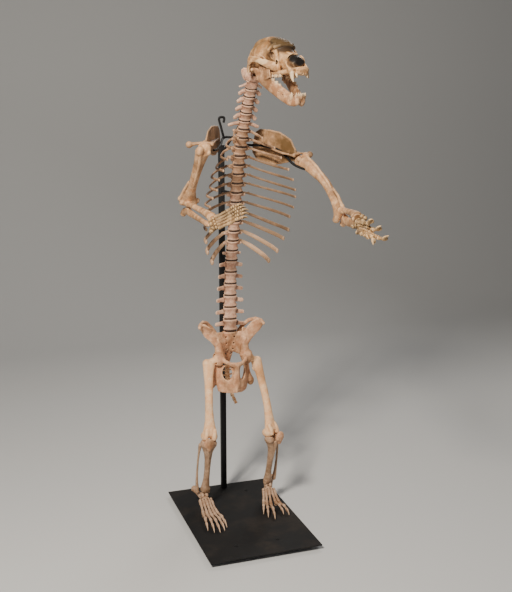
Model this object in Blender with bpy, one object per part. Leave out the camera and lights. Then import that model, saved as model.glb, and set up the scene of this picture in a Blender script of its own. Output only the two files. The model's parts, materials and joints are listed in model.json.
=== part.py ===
"""A standing cave bear skeleton on its museum mount, life size.

Metres, +Z up. The origin is the centre of the base's underside. The bear faces -Y, and +X is its left.
Every bone is built from tubes and rounded knobs laid along its own axis, fused into one closed body.
"""
import bmesh
import bpy
from math import cos, pi, radians, sin
from mathutils import Matrix, Vector

for thing in list(bpy.data.objects):
    bpy.data.objects.remove(thing)

# ---- Driving sizes ---------------------------------------------------------------------------
BASE_WIDTH = 0.600
BASE_DEPTH = 0.900
PLATE_THICK = 0.006
PLATE_TOP = 0.031
FRAME_INSET = 0.050
POLE_SIDE = 0.030
POLE_Y = 0.406
POLE_X = 0.030
POLE_TOP = 2.050
ROD_RADIUS = 0.0065
GAP = 0.0004                      # between bones that meet
VOXEL = 0.0045                    # cell of the mesh that fuses a bone's shapes

MIDLINE = 0.030                   # the plane that parts the rib cage into two sides
LUMBARS, THORACICS, CERVICALS = 6, 14, 6
LUMBAR_PITCH = 0.0665
THORACIC_PITCH_LOW, THORACIC_PITCH_HIGH = 0.0585, 0.0465
CERVICAL_PITCH = 0.0440
RIBS = 13
RIB_REACH = (0.085, 0.115, 0.142, 0.176, 0.200, 0.215, 0.221, 0.217, 0.208, 0.206, 0.200, 0.184, 0.156)
RIB_DEPTH = (0.150, 0.190, 0.235, 0.270, 0.290, 0.300, 0.300, 0.295, 0.280, 0.245, 0.200, 0.165, 0.130)
RIB_DROP = (0.050, 0.052, 0.055, 0.066, 0.070, 0.073, 0.060, 0.064, 0.063, 0.086, 0.088, 0.108, 0.112)
RIB_SPREAD = {"right": 0.90, "left": 1.03}

# The spine's curve, from the top of the sacrum to the skull.
SPINE = ((0.024, 0.236, 1.036), (0.027, 0.244, 1.240), (0.031, 0.232, 1.431), (0.032, 0.180, 1.640),
         (0.029, 0.118, 1.863), (0.029, 0.066, 2.030), (0.035, 0.031, 2.138), (0.042, -0.030, 2.268),
         (0.046, -0.094, 2.378), (0.046, -0.122, 2.424))

# Joint centres, (x, y, z).
SACRUM_X = 0.019
HIP = {"right": (-0.066, 0.178, 0.895), "left": (0.114, 0.178, 0.887)}
KNEE = {"right": (-0.150, 0.085, 0.458), "left": (0.214, 0.065, 0.455)}
ANKLE = {"right": (-0.160, 0.165, 0.135), "left": (0.217, 0.150, 0.150)}
KNEE_FRONT = {"right": (-0.12, -1.0, 0.0), "left": (0.55, -1.0, 0.0)}
SHOULDER = {"right": (-0.222, -0.140, 2.045), "left": (0.288, -0.140, 1.984)}
ELBOW = {"right": (-0.244, 0.120, 1.755), "left": (0.372, -0.440, 1.722)}
WRIST = {"right": (-0.208, -0.205, 1.704), "left": (0.312, -0.755, 1.736)}
BLADE_TOP = {"right": (-0.050, 0.175, 2.092), "left": (0.140, 0.165, 2.070)}
ACROMION = {"right": (-0.288, -0.105, 2.062), "left": (0.338, -0.125, 2.010)}
HAND_TIP = {"right": (-0.035, -0.285, 1.765), "left": (0.394, -0.918, 1.678)}
TOE_TIPS = {"right": ((-0.112, -0.118), (-0.134, -0.150), (-0.163, -0.162), (-0.192, -0.152),
                      (-0.220, -0.122)),
            "left": ((0.128, -0.030), (0.138, -0.080), (0.166, -0.112), (0.232, -0.070), (0.258, -0.088))}
BLADE_HALF = {"right": 0.068, "left": 0.092}
HUMERUS_BOW = {"right": 0.0, "left": 0.020}
SIDE_SIGN = {"right": -1.0, "left": 1.0}

SKULL_BASE = Vector((0.046, -0.122, 2.428))
SKULL_YAW = radians(11.5)

# ---- Materials -------------------------------------------------------------------------------
BONE = (0.60, 0.44, 0.30)
BONE_PALE = (0.66, 0.50, 0.35)
BONE_DARK = (0.48, 0.34, 0.22)
STEEL_BLACK = (0.012, 0.012, 0.014)

# Where the arms' yoke leaves the pole, and the ways of its rods.
YOKE = (-0.018, 0.200, 2.093)
YOKE_MIDDLE = (0.030, 0.202, 2.094)
HOOK = ((-0.034, 0.200, 2.152), (-0.043, 0.200, 2.193), (-0.016, 0.200, 2.197), (-0.018, 0.200, 2.172))
ROD_RIGHT = ((-0.058, 0.120, 2.062), (-0.108, 0.020, 2.038), (-0.150, -0.060, 2.034))
ROD_LEFT = ((0.096, 0.190, 2.052), (0.178, 0.126, 2.040), (0.230, 0.050, 2.028), (0.250, -0.010, 2.000),
            (0.262, -0.060, 1.962), (0.292, -0.100, 1.932), (0.330, -0.175, 1.908), (0.344, -0.240, 1.872))
BRACKET_HEIGHTS = (1.000, 1.440, 1.800)


def finish(name, colour, roughness=0.6, metallic=0.0):
    """A plain Principled finish."""
    material = bpy.data.materials.new(name)
    material.use_nodes = True
    shader = material.node_tree.nodes["Principled BSDF"]
    shader.inputs["Base Color"].default_value = (*colour, 1.0)
    shader.inputs["Roughness"].default_value = roughness
    shader.inputs["Metallic"].default_value = metallic
    return material


# ---- Frames and curves -----------------------------------------------------------------------
def bone_frame(start, end, front, side="left"):
    """Axes of a bone: x outward from the body, y to its front, z along it from start to end."""
    start, end = Vector(start), Vector(end)
    along = (end - start).normalized()
    ahead = Vector(front)
    ahead = (ahead - along * ahead.dot(along)).normalized()
    out = ahead.cross(along) * SIDE_SIGN[side]
    frame = Matrix((out, ahead, along)).transposed().to_4x4()
    frame.translation = start
    return frame


WORLD = Matrix.Identity(4)


def smooth_path(points, steps):
    """Points on a Catmull-Rom curve through the given ones, `steps` to each stretch."""
    points = [Vector(point) for point in points]
    ends = [points[0] * 2 - points[1]] + points + [points[-1] * 2 - points[-2]]
    path = []
    for before, start, end, after in zip(ends, ends[1:], ends[2:], ends[3:]):
        for step in range(steps):
            t = step / steps
            path.append(0.5 * (2 * start + (end - before) * t
                               + (2 * before - 5 * start + 4 * end - after) * t * t
                               + (3 * start - before - 3 * end + after) * t ** 3))
    path.append(points[-1])
    return path


class Curve:
    """A smooth curve that is read by the distance along it."""

    def __init__(self, points):
        self.path = smooth_path(points, 24)
        self.reach = [0.0]
        for start, end in zip(self.path, self.path[1:]):
            self.reach.append(self.reach[-1] + (end - start).length)

    def at(self, distance):
        for index in range(1, len(self.path)):
            if self.reach[index] >= distance:
                break
        span = self.reach[index] - self.reach[index - 1]
        return self.path[index - 1].lerp(self.path[index], (distance - self.reach[index - 1]) / span)


# ---- Shapes ----------------------------------------------------------------------------------
def tube(shape, frame, stations, across=(1, 0, 0), sides=12):
    """A rounded tube through stations (x, y, z, half width, half depth) in the frame.

    The half width is measured along `across`, the half depth square to it. Both ends are domed.
    """
    turn = frame.to_3x3()
    wide = (turn @ Vector(across)).normalized()
    centres = [frame @ Vector(station[:3]) for station in stations]
    sizes = [(station[3], station[4]) for station in stations]
    first = (centres[0] - centres[1]).normalized()
    last = (centres[-1] - centres[-2]).normalized()
    dome = 0.55
    centres = ([centres[0] + first * min(sizes[0]) * dome] + centres + [centres[-1] + last * min(sizes[-1]) * dome])
    sizes = [(a * 0.6, b * 0.6) for a, b in sizes[:1]] + sizes + [(a * 0.6, b * 0.6) for a, b in sizes[-1:]]
    rings = []
    for index, centre in enumerate(centres):
        ahead = centres[min(index + 1, len(centres) - 1)]
        behind = centres[max(index - 1, 0)]
        tangent = (ahead - behind).normalized()
        right = (wide - tangent * wide.dot(tangent)).normalized()
        deep = tangent.cross(right)
        half_width, half_depth = sizes[index]
        ring = []
        for corner in range(sides):
            angle = 2 * pi * (corner + 0.5) / sides
            spot = centre + right * cos(angle) * half_width + deep * sin(angle) * half_depth
            ring.append(shape.verts.new(spot))
        rings.append(ring)
    for ring, following in zip(rings, rings[1:]):
        for corner in range(sides):
            after = (corner + 1) % sides
            shape.faces.new((ring[corner], ring[after], following[after], following[corner]))
    shape.faces.new(list(reversed(rings[0])))
    shape.faces.new(rings[-1])


def knob(shape, frame, centre, radii):
    """A rounded lump: an ellipsoid along the frame's axes."""
    placing = frame @ Matrix.Translation(centre) @ Matrix.Diagonal((*radii, 1.0))
    bmesh.ops.create_icosphere(shape, subdivisions=2, radius=1.0, matrix=placing)


def solid_object(name, shape, material):
    """The bmesh as an object, faces pointing out."""
    bmesh.ops.recalc_face_normals(shape, faces=shape.faces)
    mesh = bpy.data.meshes.new(name)
    shape.to_mesh(mesh)
    shape.free()
    thing = bpy.data.objects.new(name, mesh)
    bpy.context.scene.collection.objects.link(thing)
    mesh.materials.append(material)
    return thing


def settle(thing):
    """Apply the object's modifiers."""
    depsgraph = bpy.context.evaluated_depsgraph_get()
    mesh = bpy.data.meshes.new_from_object(thing.evaluated_get(depsgraph))
    old = thing.data
    thing.modifiers.clear()
    thing.data = mesh
    bpy.data.meshes.remove(old)


def keep_largest(thing):
    """Drop the loose crumbs a cut can leave."""
    shape = bmesh.new()
    shape.from_mesh(thing.data)
    unseen = set(shape.verts)
    groups = []
    while unseen:
        front = [unseen.pop()]
        group = set(front)
        while front:
            for edge in front.pop().link_edges:
                for vert in edge.verts:
                    if vert in unseen:
                        unseen.discard(vert)
                        group.add(vert)
                        front.append(vert)
        groups.append(group)
    largest = max(groups, key=len)
    crumbs = [vert for group in groups if group is not largest for vert in group]
    bmesh.ops.delete(shape, geom=crumbs, context="VERTS")
    bmesh.ops.triangulate(shape, faces=shape.faces)
    shape.to_mesh(thing.data)
    shape.free()


def pinched(mesh):
    """True if any edge joins more or fewer than two faces."""
    shape = bmesh.new()
    shape.from_mesh(mesh)
    answer = any(not edge.is_manifold for edge in shape.edges)
    shape.free()
    return answer


def fuse(name, shape, material, triangles, voxel=VOXEL, hollows=None):
    """One closed body from the overlapping tubes and knobs, less any hollows.

    It is thinned to about `triangles` faces, or a few more where fewer would pinch a thin place.
    """
    thing = solid_object(name, shape, material)
    remesh = thing.modifiers.new("fuse", "REMESH")
    remesh.mode = "VOXEL"
    remesh.voxel_size = voxel
    settle(thing)
    if hollows:
        cut(thing, solid_object("hollows", hollows, material))
    dense = thing.data.copy()
    faces = sum(len(face.vertices) - 2 for face in dense.polygons)
    for more in (1.0, 1.03, 1.06, 1.09):
        thing.data = dense.copy()
        thin = thing.modifiers.new("thin", "DECIMATE")
        thin.ratio = triangles * more / faces
        settle(thing)
        keep_largest(thing)
        if not pinched(thing.data):
            break
    thing.data.materials.clear()
    thing.data.materials.append(material)
    return thing


def cut(thing, cutter):
    """Take the cutter's volume out of the object, and drop the cutter."""
    boolean = thing.modifiers.new("cut", "BOOLEAN")
    boolean.operation = "DIFFERENCE"
    boolean.solver = "EXACT"
    boolean.object = cutter
    settle(thing)
    bpy.data.objects.remove(cutter)
    keep_largest(thing)


def clear_of(thing, *neighbours):
    """Cut the object back where a neighbouring bone meets it, leaving the joint's fine gap."""
    for neighbour in neighbours:
        swollen = bpy.data.objects.new("swollen", neighbour.data.copy())
        bpy.context.scene.collection.objects.link(swollen)
        for vert, normal in zip(swollen.data.vertices, [v.normal.copy() for v in neighbour.data.vertices]):
            vert.co += normal * GAP * 1.6
        cut(thing, swollen)


# ---- Spine and ribs --------------------------------------------------------------------------
spine = Curve(SPINE)
joints = [0.0]
for _ in range(LUMBARS):
    joints.append(joints[-1] + LUMBAR_PITCH)
for index in range(THORACICS):
    share = index / (THORACICS - 1)
    joints.append(joints[-1] + THORACIC_PITCH_LOW + (THORACIC_PITCH_HIGH - THORACIC_PITCH_LOW) * share)
for _ in range(CERVICALS):
    joints.append(joints[-1] + CERVICAL_PITCH)
NECK_START = LUMBARS + THORACICS


def vertebra_frame(index):
    """Axes of a vertebra: x to the bear's left, y to its belly, z up the spine."""
    return bone_frame(spine.at(joints[index]), spine.at(joints[index + 1]), (0, -1, 0), "right")


def vertebra(shape, index, half_width, half_depth, wing, wing_drop, wing_half, process, process_drop,
             gap=0.004):
    """One vertebra: its body, the disc below, the arch, two side wings and the back process."""
    frame = vertebra_frame(index)
    height = joints[index + 1] - joints[index]
    waist = 0.86
    tube(shape, frame, ((0, 0, gap, half_width, half_depth),
                        (0, 0, height / 2, half_width * waist, half_depth * waist),
                        (0, 0, height - gap, half_width, half_depth)), sides=10)
    disc = 0.80
    tube(shape, frame, ((0, 0, -gap, half_width * disc, half_depth * disc),
                        (0, 0, height / 2, half_width * disc, half_depth * disc)))
    root = -half_depth * 0.6
    for side in (-1, 1):
        tube(shape, frame, ((side * half_width * 0.5, root * 0.6, height * 0.62, wing_half * 1.2, 0.007),
                            (side * wing * 0.75, root, height * 0.62 - wing_drop * 0.5, wing_half, 0.005),
                            (side * wing, root, height * 0.62 - wing_drop, wing_half * 0.8, 0.005)),
             across=(0, 0, 1))
        tube(shape, frame, ((side * 0.012, root, height * 0.5, 0.010, 0.007),
                            (side * 0.010, -half_depth - 0.018, height * 0.5, 0.010, 0.007)),
             across=(0, 0, 1))
    tube(shape, frame, ((0, -half_depth - 0.010, height * 0.5, height * 0.34, 0.012),
                        (0, -half_depth - process * 0.6, height * 0.5 - process_drop * 0.6, height * 0.26,
                         0.006),
                        (0, -half_depth - process, height * 0.5 - process_drop, height * 0.22, 0.006)),
         across=(0, 0, 1))


def lumbar_spine(material):
    shape = bmesh.new()
    for index in range(LUMBARS):
        from_top = LUMBARS - 1 - index
        wing = 0.058 + 0.026 * from_top / (LUMBARS - 1)
        vertebra(shape, index, 0.034, 0.024, wing, 0.002, 0.011, 0.062, 0.0)
    return fuse("lumbar_spine", shape, material, 370)


def neck(material):
    shape = bmesh.new()
    for index in range(NECK_START, NECK_START + CERVICALS):
        number = CERVICALS + 1 - (index - NECK_START)
        wing = 0.078 if number == 7 else 0.062
        process = 0.060 if number in (2, 7) else 0.036
        vertebra(shape, index, 0.031, 0.019, wing, 0.016, 0.012, process, 0.006, gap=0.003)
    top = spine.at(joints[-1])
    frame = bone_frame(top, SKULL_BASE, (0, -1, 0), "right")
    for side in (-1, 1):
        tube(shape, frame, ((0, -0.008, 0.018, 0.026, 0.016), (side * 0.032, -0.010, 0.024, 0.028, 0.011),
                            (side * 0.054, -0.016, 0.022, 0.030, 0.007)), across=(0, 0, 1))
    tube(shape, frame, ((0, 0, -0.010, 0.034, 0.020), (0, 0, 0.026, 0.036, 0.020)))
    return fuse("neck", shape, material, 430)


def rib(shape, number, side_name):
    """A rib: out from the spine past its bend, round the flank and forward to its free tip."""
    top = NECK_START - number
    head = spine.at(joints[top + 1])
    reach, depth = RIB_REACH[number - 1] * RIB_SPREAD[side_name], RIB_DEPTH[number - 1]
    side = SIDE_SIGN[side_name]
    drop = RIB_DROP[number - 1]
    tuck = 0.93 if number < 10 else 1.0
    plan = ((0.024, 0.002, 0.0), (0.34 * reach, -0.026, 0.06), (0.66 * reach, -0.018, 0.24),
            (0.93 * reach, 0.26 * depth, 0.52), (0.5 * (1.0 + tuck) * reach, 0.60 * depth, 0.76),
            (tuck * reach, depth, 1.0))
    route = [head + Vector((side * aside, -ahead, -drop * fall)) for aside, ahead, fall in plan]
    path = smooth_path(route, 2)
    stations = []
    for index, point in enumerate(path):
        share = index / (len(path) - 1)
        half = 0.0065 + 0.0040 * sin(pi * min(share * 0.8 + 0.1, 1.0))
        stations.append((*point, half, half * 0.62))
    tube(shape, WORLD, stations, across=(0, 0, 1), sides=6)


def ribcage(side_name, material):
    """Half of the chest: the ribs of one side on their half of the backbone."""
    side = SIDE_SIGN[side_name]
    shape = bmesh.new()
    for index in range(LUMBARS, NECK_START):
        share = (index - LUMBARS) / (THORACICS - 1)
        process = 0.055 + 0.050 * share
        vertebra(shape, index, 0.031 - 0.002 * share, 0.022, 0.050, -0.006, 0.010, process,
                 0.010 + 0.03 * share)
    for number in range(1, RIBS + 1):
        rib(shape, number, side_name)
    half = fuse("ribcage_" + side_name, shape, material, 860)
    box = bmesh.new()
    bmesh.ops.create_cube(box, size=2.0)
    reach = 0.5
    bmesh.ops.transform(box, matrix=Matrix.Translation((MIDLINE - side * (reach - GAP / 2), 0.1, 1.8))
                        @ Matrix.Diagonal((reach, 0.6, 0.6, 1.0)), verts=box.verts)
    cut(half, solid_object("other_half", box, material))
    return half


# ---- Pelvis and tail -------------------------------------------------------------------------
def pelvis(material):
    shape = bmesh.new()
    mid = SACRUM_X
    tube(shape, WORLD, ((mid, 0.238, 1.024, 0.044, 0.024), (mid, 0.246, 0.985, 0.048, 0.022),
                        (mid, 0.262, 0.930, 0.038, 0.018), (mid, 0.292, 0.840, 0.018, 0.011)), sides=12)
    tube(shape, WORLD, ((mid, 0.275, 1.02, 0.009, 0.016), (mid, 0.305, 0.92, 0.007, 0.014)))
    for side in (-1, 1):
        def spot(aside, y, z, wide, deep):
            return (mid + side * aside, y, z, wide, deep)
        tube(shape, WORLD, (spot(0.030, 0.242, 0.985, 0.044, 0.020),
                            spot(0.074, 0.222, 0.980, 0.044, 0.016)),
             across=(0, 0, 1))
        tube(shape, WORLD, (spot(0.074, 0.185, 0.905, 0.036, 0.030),
                            spot(0.076, 0.200, 0.955, 0.022, 0.020),
                            spot(0.100, 0.215, 1.010, 0.034, 0.013),
                            spot(0.144, 0.214, 1.054, 0.036, 0.010),
                            spot(0.170, 0.206, 1.082, 0.026, 0.009)), across=(1, 0, -0.8))
        tube(shape, WORLD, (spot(0.158, 0.210, 1.079, 0.022, 0.009),
                            spot(0.126, 0.262, 1.068, 0.030, 0.009),
                            spot(0.078, 0.286, 1.020, 0.030, 0.009)), across=(1, 0, -0.8))
        knob(shape, WORLD, (mid + side * 0.080, 0.180, 0.898), (0.036, 0.042, 0.044))
        tube(shape, WORLD, (spot(0.062, 0.168, 0.902, 0.017, 0.012),
                            spot(0.034, 0.130, 0.890, 0.014, 0.010),
                            spot(0.004, 0.106, 0.872, 0.022, 0.010)), across=(0, 0, 1))
        tube(shape, WORLD, (spot(0.076, 0.192, 0.880, 0.020, 0.020),
                            spot(0.088, 0.206, 0.820, 0.017, 0.017),
                            spot(0.102, 0.208, 0.752, 0.026, 0.020)))
        tube(shape, WORLD, (spot(0.002, 0.112, 0.786, 0.078, 0.009),
                            spot(0.046, 0.148, 0.780, 0.082, 0.009),
                            spot(0.084, 0.196, 0.776, 0.078, 0.012)), across=(0, 0, 1))
        knob(shape, WORLD, (mid + side * 0.112, 0.208, 0.745), (0.022, 0.018, 0.026))
    windows = bmesh.new()
    for side in (-1, 1):
        knob(windows, WORLD, (mid + side * 0.042, 0.148, 0.816), (0.025, 0.060, 0.041))
    return fuse("pelvis", shape, material, 590, hollows=windows)


TAIL = ((0.024, 0.300, 0.826), (0.026, 0.306, 0.760), (0.034, 0.296, 0.690), (0.052, 0.284, 0.632),
        (0.070, 0.276, 0.592))
TAIL_BONES = 8


def tail(material):
    """Short tail bones, each a waisted spool smaller than the one before."""
    shape = bmesh.new()
    route = Curve(TAIL)
    length = route.reach[-1]
    for index in range(TAIL_BONES):
        start, end = route.at(length * index / TAIL_BONES), route.at(length * (index + 1) / TAIL_BONES)
        half = 0.0120 - 0.0008 * index
        middle = start.lerp(end, 0.5)
        tube(shape, WORLD, ((*start, half, half), (*middle, half * 0.75, half * 0.75), (*end, half, half)),
             sides=6)
    return fuse("tail", shape, material, 110)


# ---- Legs ------------------------------------------------------------------------------------
def femur(side, material):
    frame = bone_frame(HIP[side], KNEE[side], KNEE_FRONT[side], side)
    length = (Vector(KNEE[side]) - Vector(HIP[side])).length
    shape = bmesh.new()
    knob(shape, frame, (0, 0, 0), (0.028, 0.028, 0.028))
    tube(shape, frame, ((0.004, 0, 0.002, 0.020, 0.018), (0.045, -0.004, 0.030, 0.020, 0.024)),
         across=(0, 1, 0))
    knob(shape, frame, (0.064, -0.006, 0.012), (0.020, 0.026, 0.034))
    tube(shape, frame, ((0.048, -0.002, 0.034, 0.036, 0.024), (0.044, 0, 0.090, 0.029, 0.021),
                        (0.034, 0.004, length * 0.40, 0.0225, 0.020),
                        (0.018, 0.006, length * 0.64, 0.0220, 0.020),
                        (0.004, 0.002, length * 0.84, 0.034, 0.026),
                        (0.0, 0.0, length * 0.93, 0.046, 0.030)))
    for out in (-0.025, 0.025):
        knob(shape, frame, (out, -0.006, length - 0.026), (0.024, 0.036, 0.027))
    return fuse("femur_" + side, shape, material, 180)


def tibia(side, material):
    frame = bone_frame(KNEE[side], ANKLE[side], KNEE_FRONT[side], side)
    length = (Vector(ANKLE[side]) - Vector(KNEE[side])).length
    shape = bmesh.new()
    tube(shape, frame, ((0, -0.002, 0.010, 0.047, 0.032), (0, 0.0, 0.030, 0.043, 0.030),
                        (-0.002, 0.004, 0.080, 0.024, 0.024), (-0.004, 0.004, length * 0.45, 0.0180, 0.019),
                        (-0.006, 0.002, length * 0.72, 0.0175, 0.016),
                        (-0.004, 0, length * 0.92, 0.025, 0.020),
                        (-0.006, 0, length - 0.006, 0.028, 0.021)))
    knob(shape, frame, (0, 0.024, 0.045), (0.012, 0.012, 0.026))
    knob(shape, frame, (-0.024, 0, length), (0.009, 0.015, 0.016))
    return fuse("tibia_" + side, shape, material, 130)


def fibula(side, material):
    frame = bone_frame(KNEE[side], ANKLE[side], KNEE_FRONT[side], side)
    length = (Vector(ANKLE[side]) - Vector(KNEE[side])).length
    shape = bmesh.new()
    tube(shape, frame, ((0.044, -0.016, 0.034, 0.011, 0.012), (0.046, -0.014, 0.070, 0.0068, 0.0075),
                        (0.048, -0.010, length * 0.55, 0.0066, 0.0075),
                        (0.044, -0.006, length * 0.84, 0.0085, 0.010),
                        (0.036, -0.004, length + 0.004, 0.0105, 0.014)), sides=6)
    return fuse("fibula_" + side, shape, material, 80)


def patella(side, material):
    frame = bone_frame(KNEE[side], ANKLE[side], KNEE_FRONT[side], side)
    shape = bmesh.new()
    knob(shape, frame, (0.002, 0.041, -0.010), (0.027, 0.015, 0.036))
    return fuse("patella_" + side, shape, material, 50)


def digit(shape, frame_points, halves):
    """A row of finger or toe bones: each is a waisted spool between its two knuckles, the last a claw."""
    for (start, end), half in zip(zip(frame_points, frame_points[1:]), halves):
        middle = start.lerp(end, 0.5)
        if end is frame_points[-1]:
            tube(shape, WORLD, ((*start, half, half * 1.2), (*middle, half * 0.75, half * 1.1),
                                (*end, half * 0.22, half * 0.3)), sides=6)
        else:
            tube(shape, WORLD, ((*start, half, half), (*middle, half * 0.68, half * 0.68),
                                (*end, half, half)), sides=6)


TOE_SHARES = (0.36, 0.66, 0.84)
TOE_HEIGHTS = (0.060, 0.068, 0.058)
CLAW_TIP_Z = 0.0345


def foot(side, material):
    """The foot stands with its heel raised, on the tips of its claws and the balls of its toes."""
    shape = bmesh.new()
    sign = SIDE_SIGN[side]
    ankle = Vector(ANKLE[side])
    tips = [Vector((x, y, CLAW_TIP_Z)) for x, y in TOE_TIPS[side]]
    heading = tips[2] - ankle
    heading.z = 0
    heading.normalize()
    aside = Vector((-heading.y, heading.x, 0)) * sign
    knob(shape, WORLD, ankle + Vector((0, -0.006, -0.022)), (0.026, 0.028, 0.020))
    heel = ankle - heading * 0.080 + aside * 0.040 + Vector((0, 0, -0.012))
    tube(shape, WORLD, ((*(ankle + aside * 0.010 + Vector((0, 0, -0.036))), 0.016, 0.018),
                        (*ankle.lerp(heel, 0.5), 0.013, 0.017), (*heel, 0.015, 0.019)))
    tarsus = ankle + heading * 0.042 + Vector((0, 0, -0.040))
    tube(shape, WORLD, ((*(ankle + Vector((0, 0, -0.034))), 0.030, 0.020), (*tarsus, 0.036, 0.017)))
    for index, tip in enumerate(tips):
        spread = (index - 2) / 2
        base = tarsus + aside * spread * 0.030 + Vector((0, 0, 0.004 - 0.010 * abs(spread)))
        flat = tip - base
        flat.z = 0
        points = [base]
        for share, height in zip(TOE_SHARES, TOE_HEIGHTS):
            point = base + flat * share
            point.z = height
            points.append(point)
        points.append(tip)
        knob(shape, WORLD, points[1] + Vector((0, 0, -0.010)), (0.009, 0.009, 0.008))
        digit(shape, points, (0.0105, 0.0095, 0.0085, 0.0070))
    return fuse("foot_" + side, shape, material, 350, voxel=0.0035)


# ---- Arms ------------------------------------------------------------------------------------
def scapula(side, material):
    """Shoulder blade: a thin curved plate with its ridge, ending in the shallow shoulder socket."""
    sign = SIDE_SIGN[side]
    frame = bone_frame(SHOULDER[side], BLADE_TOP[side], (0, 0, 1), side)
    length = (Vector(BLADE_TOP[side]) - Vector(SHOULDER[side])).length
    shape = bmesh.new()
    tube(shape, frame, ((0.0, 0.0, 0.030, 0.026, 0.020), (0.0, 0.012, 0.060, 0.036, 0.011),
                        (0.0, 0.022, 0.110, BLADE_HALF[side] * 0.76, 0.006),
                        (0.0, 0.010, 0.180, BLADE_HALF[side] * 0.94, 0.005),
                        (0.0, 0.004, 0.250, BLADE_HALF[side], 0.005),
                        (0.0, 0.0, length - 0.020, BLADE_HALF[side] * 0.88, 0.005),
                        (0.0, 0.0, length + 0.004, BLADE_HALF[side] * 0.62, 0.004)), across=(0, 1, 0))
    tube(shape, frame, ((0.038, 0.018, 0.018, 0.010, 0.012), (0.026, 0.010, 0.080, 0.024, 0.004),
                        (0.014, 0.006, 0.180, 0.020, 0.004), (0.004, 0.0, length - 0.030, 0.008, 0.004)))
    ridge_end = frame @ Vector((0.038, 0.020, 0.024))
    knuckle = Vector(ACROMION[side])
    tube(shape, WORLD, ((*ridge_end, 0.009, 0.009),
                        (*(ridge_end.lerp(knuckle, 0.5) + Vector((0, 0, 0.022))), 0.009, 0.009),
                        (*knuckle, 0.012, 0.014)), across=(0, 0, 1))
    return fuse("scapula_" + side, shape, material, 170, voxel=0.0035)


def humerus(side, material):
    front = {"right": (-0.15, -0.9, -0.6), "left": (-0.2, -0.8, 1.2)}[side]
    frame = bone_frame(SHOULDER[side], ELBOW[side], front, side)
    length = (Vector(ELBOW[side]) - Vector(SHOULDER[side])).length
    shape = bmesh.new()
    knob(shape, frame, (-0.004, -0.006, 0.004), (0.034, 0.032, 0.030))
    knob(shape, frame, (0.022, 0.020, 0.004), (0.022, 0.022, 0.026))
    bow = HUMERUS_BOW[side]
    tube(shape, frame, ((0.004, 0.006, 0.016, 0.040, 0.034),
                        (0.004 + bow * 0.3, 0.008, 0.070, 0.031, 0.031),
                        (0.004 + bow * 0.8, 0.010, length * 0.36, 0.025, 0.030),
                        (0.002 + bow, 0.004, length * 0.56, 0.023, 0.023),
                        (bow * 0.8, 0.0, length * 0.76, 0.028, 0.020),
                        (-0.004 + bow * 0.3, 0.0, length * 0.90, 0.046, 0.018),
                        (-0.004, 0.002, length - 0.018, 0.046, 0.020)))
    tube(shape, frame, ((-0.040, 0.002, length - 0.014, 0.019, 0.017),
                        (0.0, 0.002, length - 0.010, 0.017, 0.015),
                        (0.038, 0.002, length - 0.014, 0.018, 0.018)), across=(0, 1, 0))
    return fuse("humerus_" + side, shape, material, 180)


def forearm(side, material):
    """The radius and the ulna, side by side, the ulna's hooked elbow behind the joint."""
    front = {"right": (0.0, 0.0, 1.0), "left": (0.0, 0.0, 1.0)}[side]
    frame = bone_frame(ELBOW[side], WRIST[side], front, side)
    length = (Vector(WRIST[side]) - Vector(ELBOW[side])).length
    shape = bmesh.new()
    tube(shape, frame, ((0.006, 0.008, 0.026, 0.022, 0.018), (0.006, 0.010, 0.050, 0.015, 0.014),
                        (0.004, 0.016, length * 0.5, 0.016, 0.015),
                        (-0.002, 0.016, length * 0.84, 0.021, 0.019),
                        (-0.004, 0.012, length - 0.008, 0.026, 0.022)))
    radius = fuse("radius_" + side, shape, material, 120)
    shape = bmesh.new()
    tube(shape, frame, ((0.004, -0.062, -0.038, 0.015, 0.016), (0.004, -0.044, -0.030, 0.013, 0.018),
                        (0.002, -0.034, 0.010, 0.015, 0.020), (0.004, -0.034, length * 0.36, 0.012, 0.016),
                        (0.008, -0.030, length * 0.72, 0.011, 0.013),
                        (0.010, -0.026, length - 0.012, 0.015, 0.015)))
    ulna = fuse("ulna_" + side, shape, material, 130)
    return radius, ulna


FINGER_SHARES = (0.0, 0.44, 0.68, 0.82, 1.0)
FINGER_LIFTS = (0.0, 0.004, 0.018, 0.014, -0.014)
FINGER_REACH = {"right": (0.88, 0.94, 1.00, 0.94, 0.88), "left": (0.66, 0.88, 1.00, 0.80, 0.58)}
FINGER_SPREAD = {"right": (-1.0, -0.5, 0.0, 0.5, 1.0), "left": (-2.2, -0.6, 0.0, 0.5, 1.0)}
CARPUS = 0.040
HAND_UP = {"right": (0.10, 0.55, 0.90), "left": (0.55, 0.10, 0.90)}
HAND_FAN = {"right": 0.15, "left": 0.19}


def hand(side, material):
    """The wrist block and five fingers, fanned and bent at their knuckles, with long claws."""
    wrist, tip = Vector(WRIST[side]), Vector(HAND_TIP[side])
    heading = (tip - wrist).normalized()
    up = Vector(HAND_UP[side])
    up = (up - heading * up.dot(heading)).normalized()
    bend = heading.cross(up)
    if bend.y > 0:
        bend = -bend
    frame = bone_frame(wrist, tip, bend, "left")
    shape = bmesh.new()
    knob(shape, frame, (0, 0, CARPUS * 0.55), (0.034, 0.022, 0.024))
    knob(shape, WORLD, wrist - up * 0.040 + heading * 0.012 + bend * 0.004, (0.012, 0.012, 0.016))
    for index, reach in enumerate(FINGER_REACH[side]):
        spread = (index - 2) / 2
        base = wrist + heading * CARPUS + up * spread * 0.026
        fan = (heading + up * FINGER_SPREAD[side][index] * HAND_FAN[side]).normalized()
        length = ((tip - wrist).length - CARPUS) * reach
        points = [base + fan * length * share + bend * lift for share,
                  lift in zip(FINGER_SHARES, FINGER_LIFTS)]
        digit(shape, points, (0.0100, 0.0090, 0.0080, 0.0065))
    return fuse("hand_" + side, shape, material, 330, voxel=0.0035)


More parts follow.
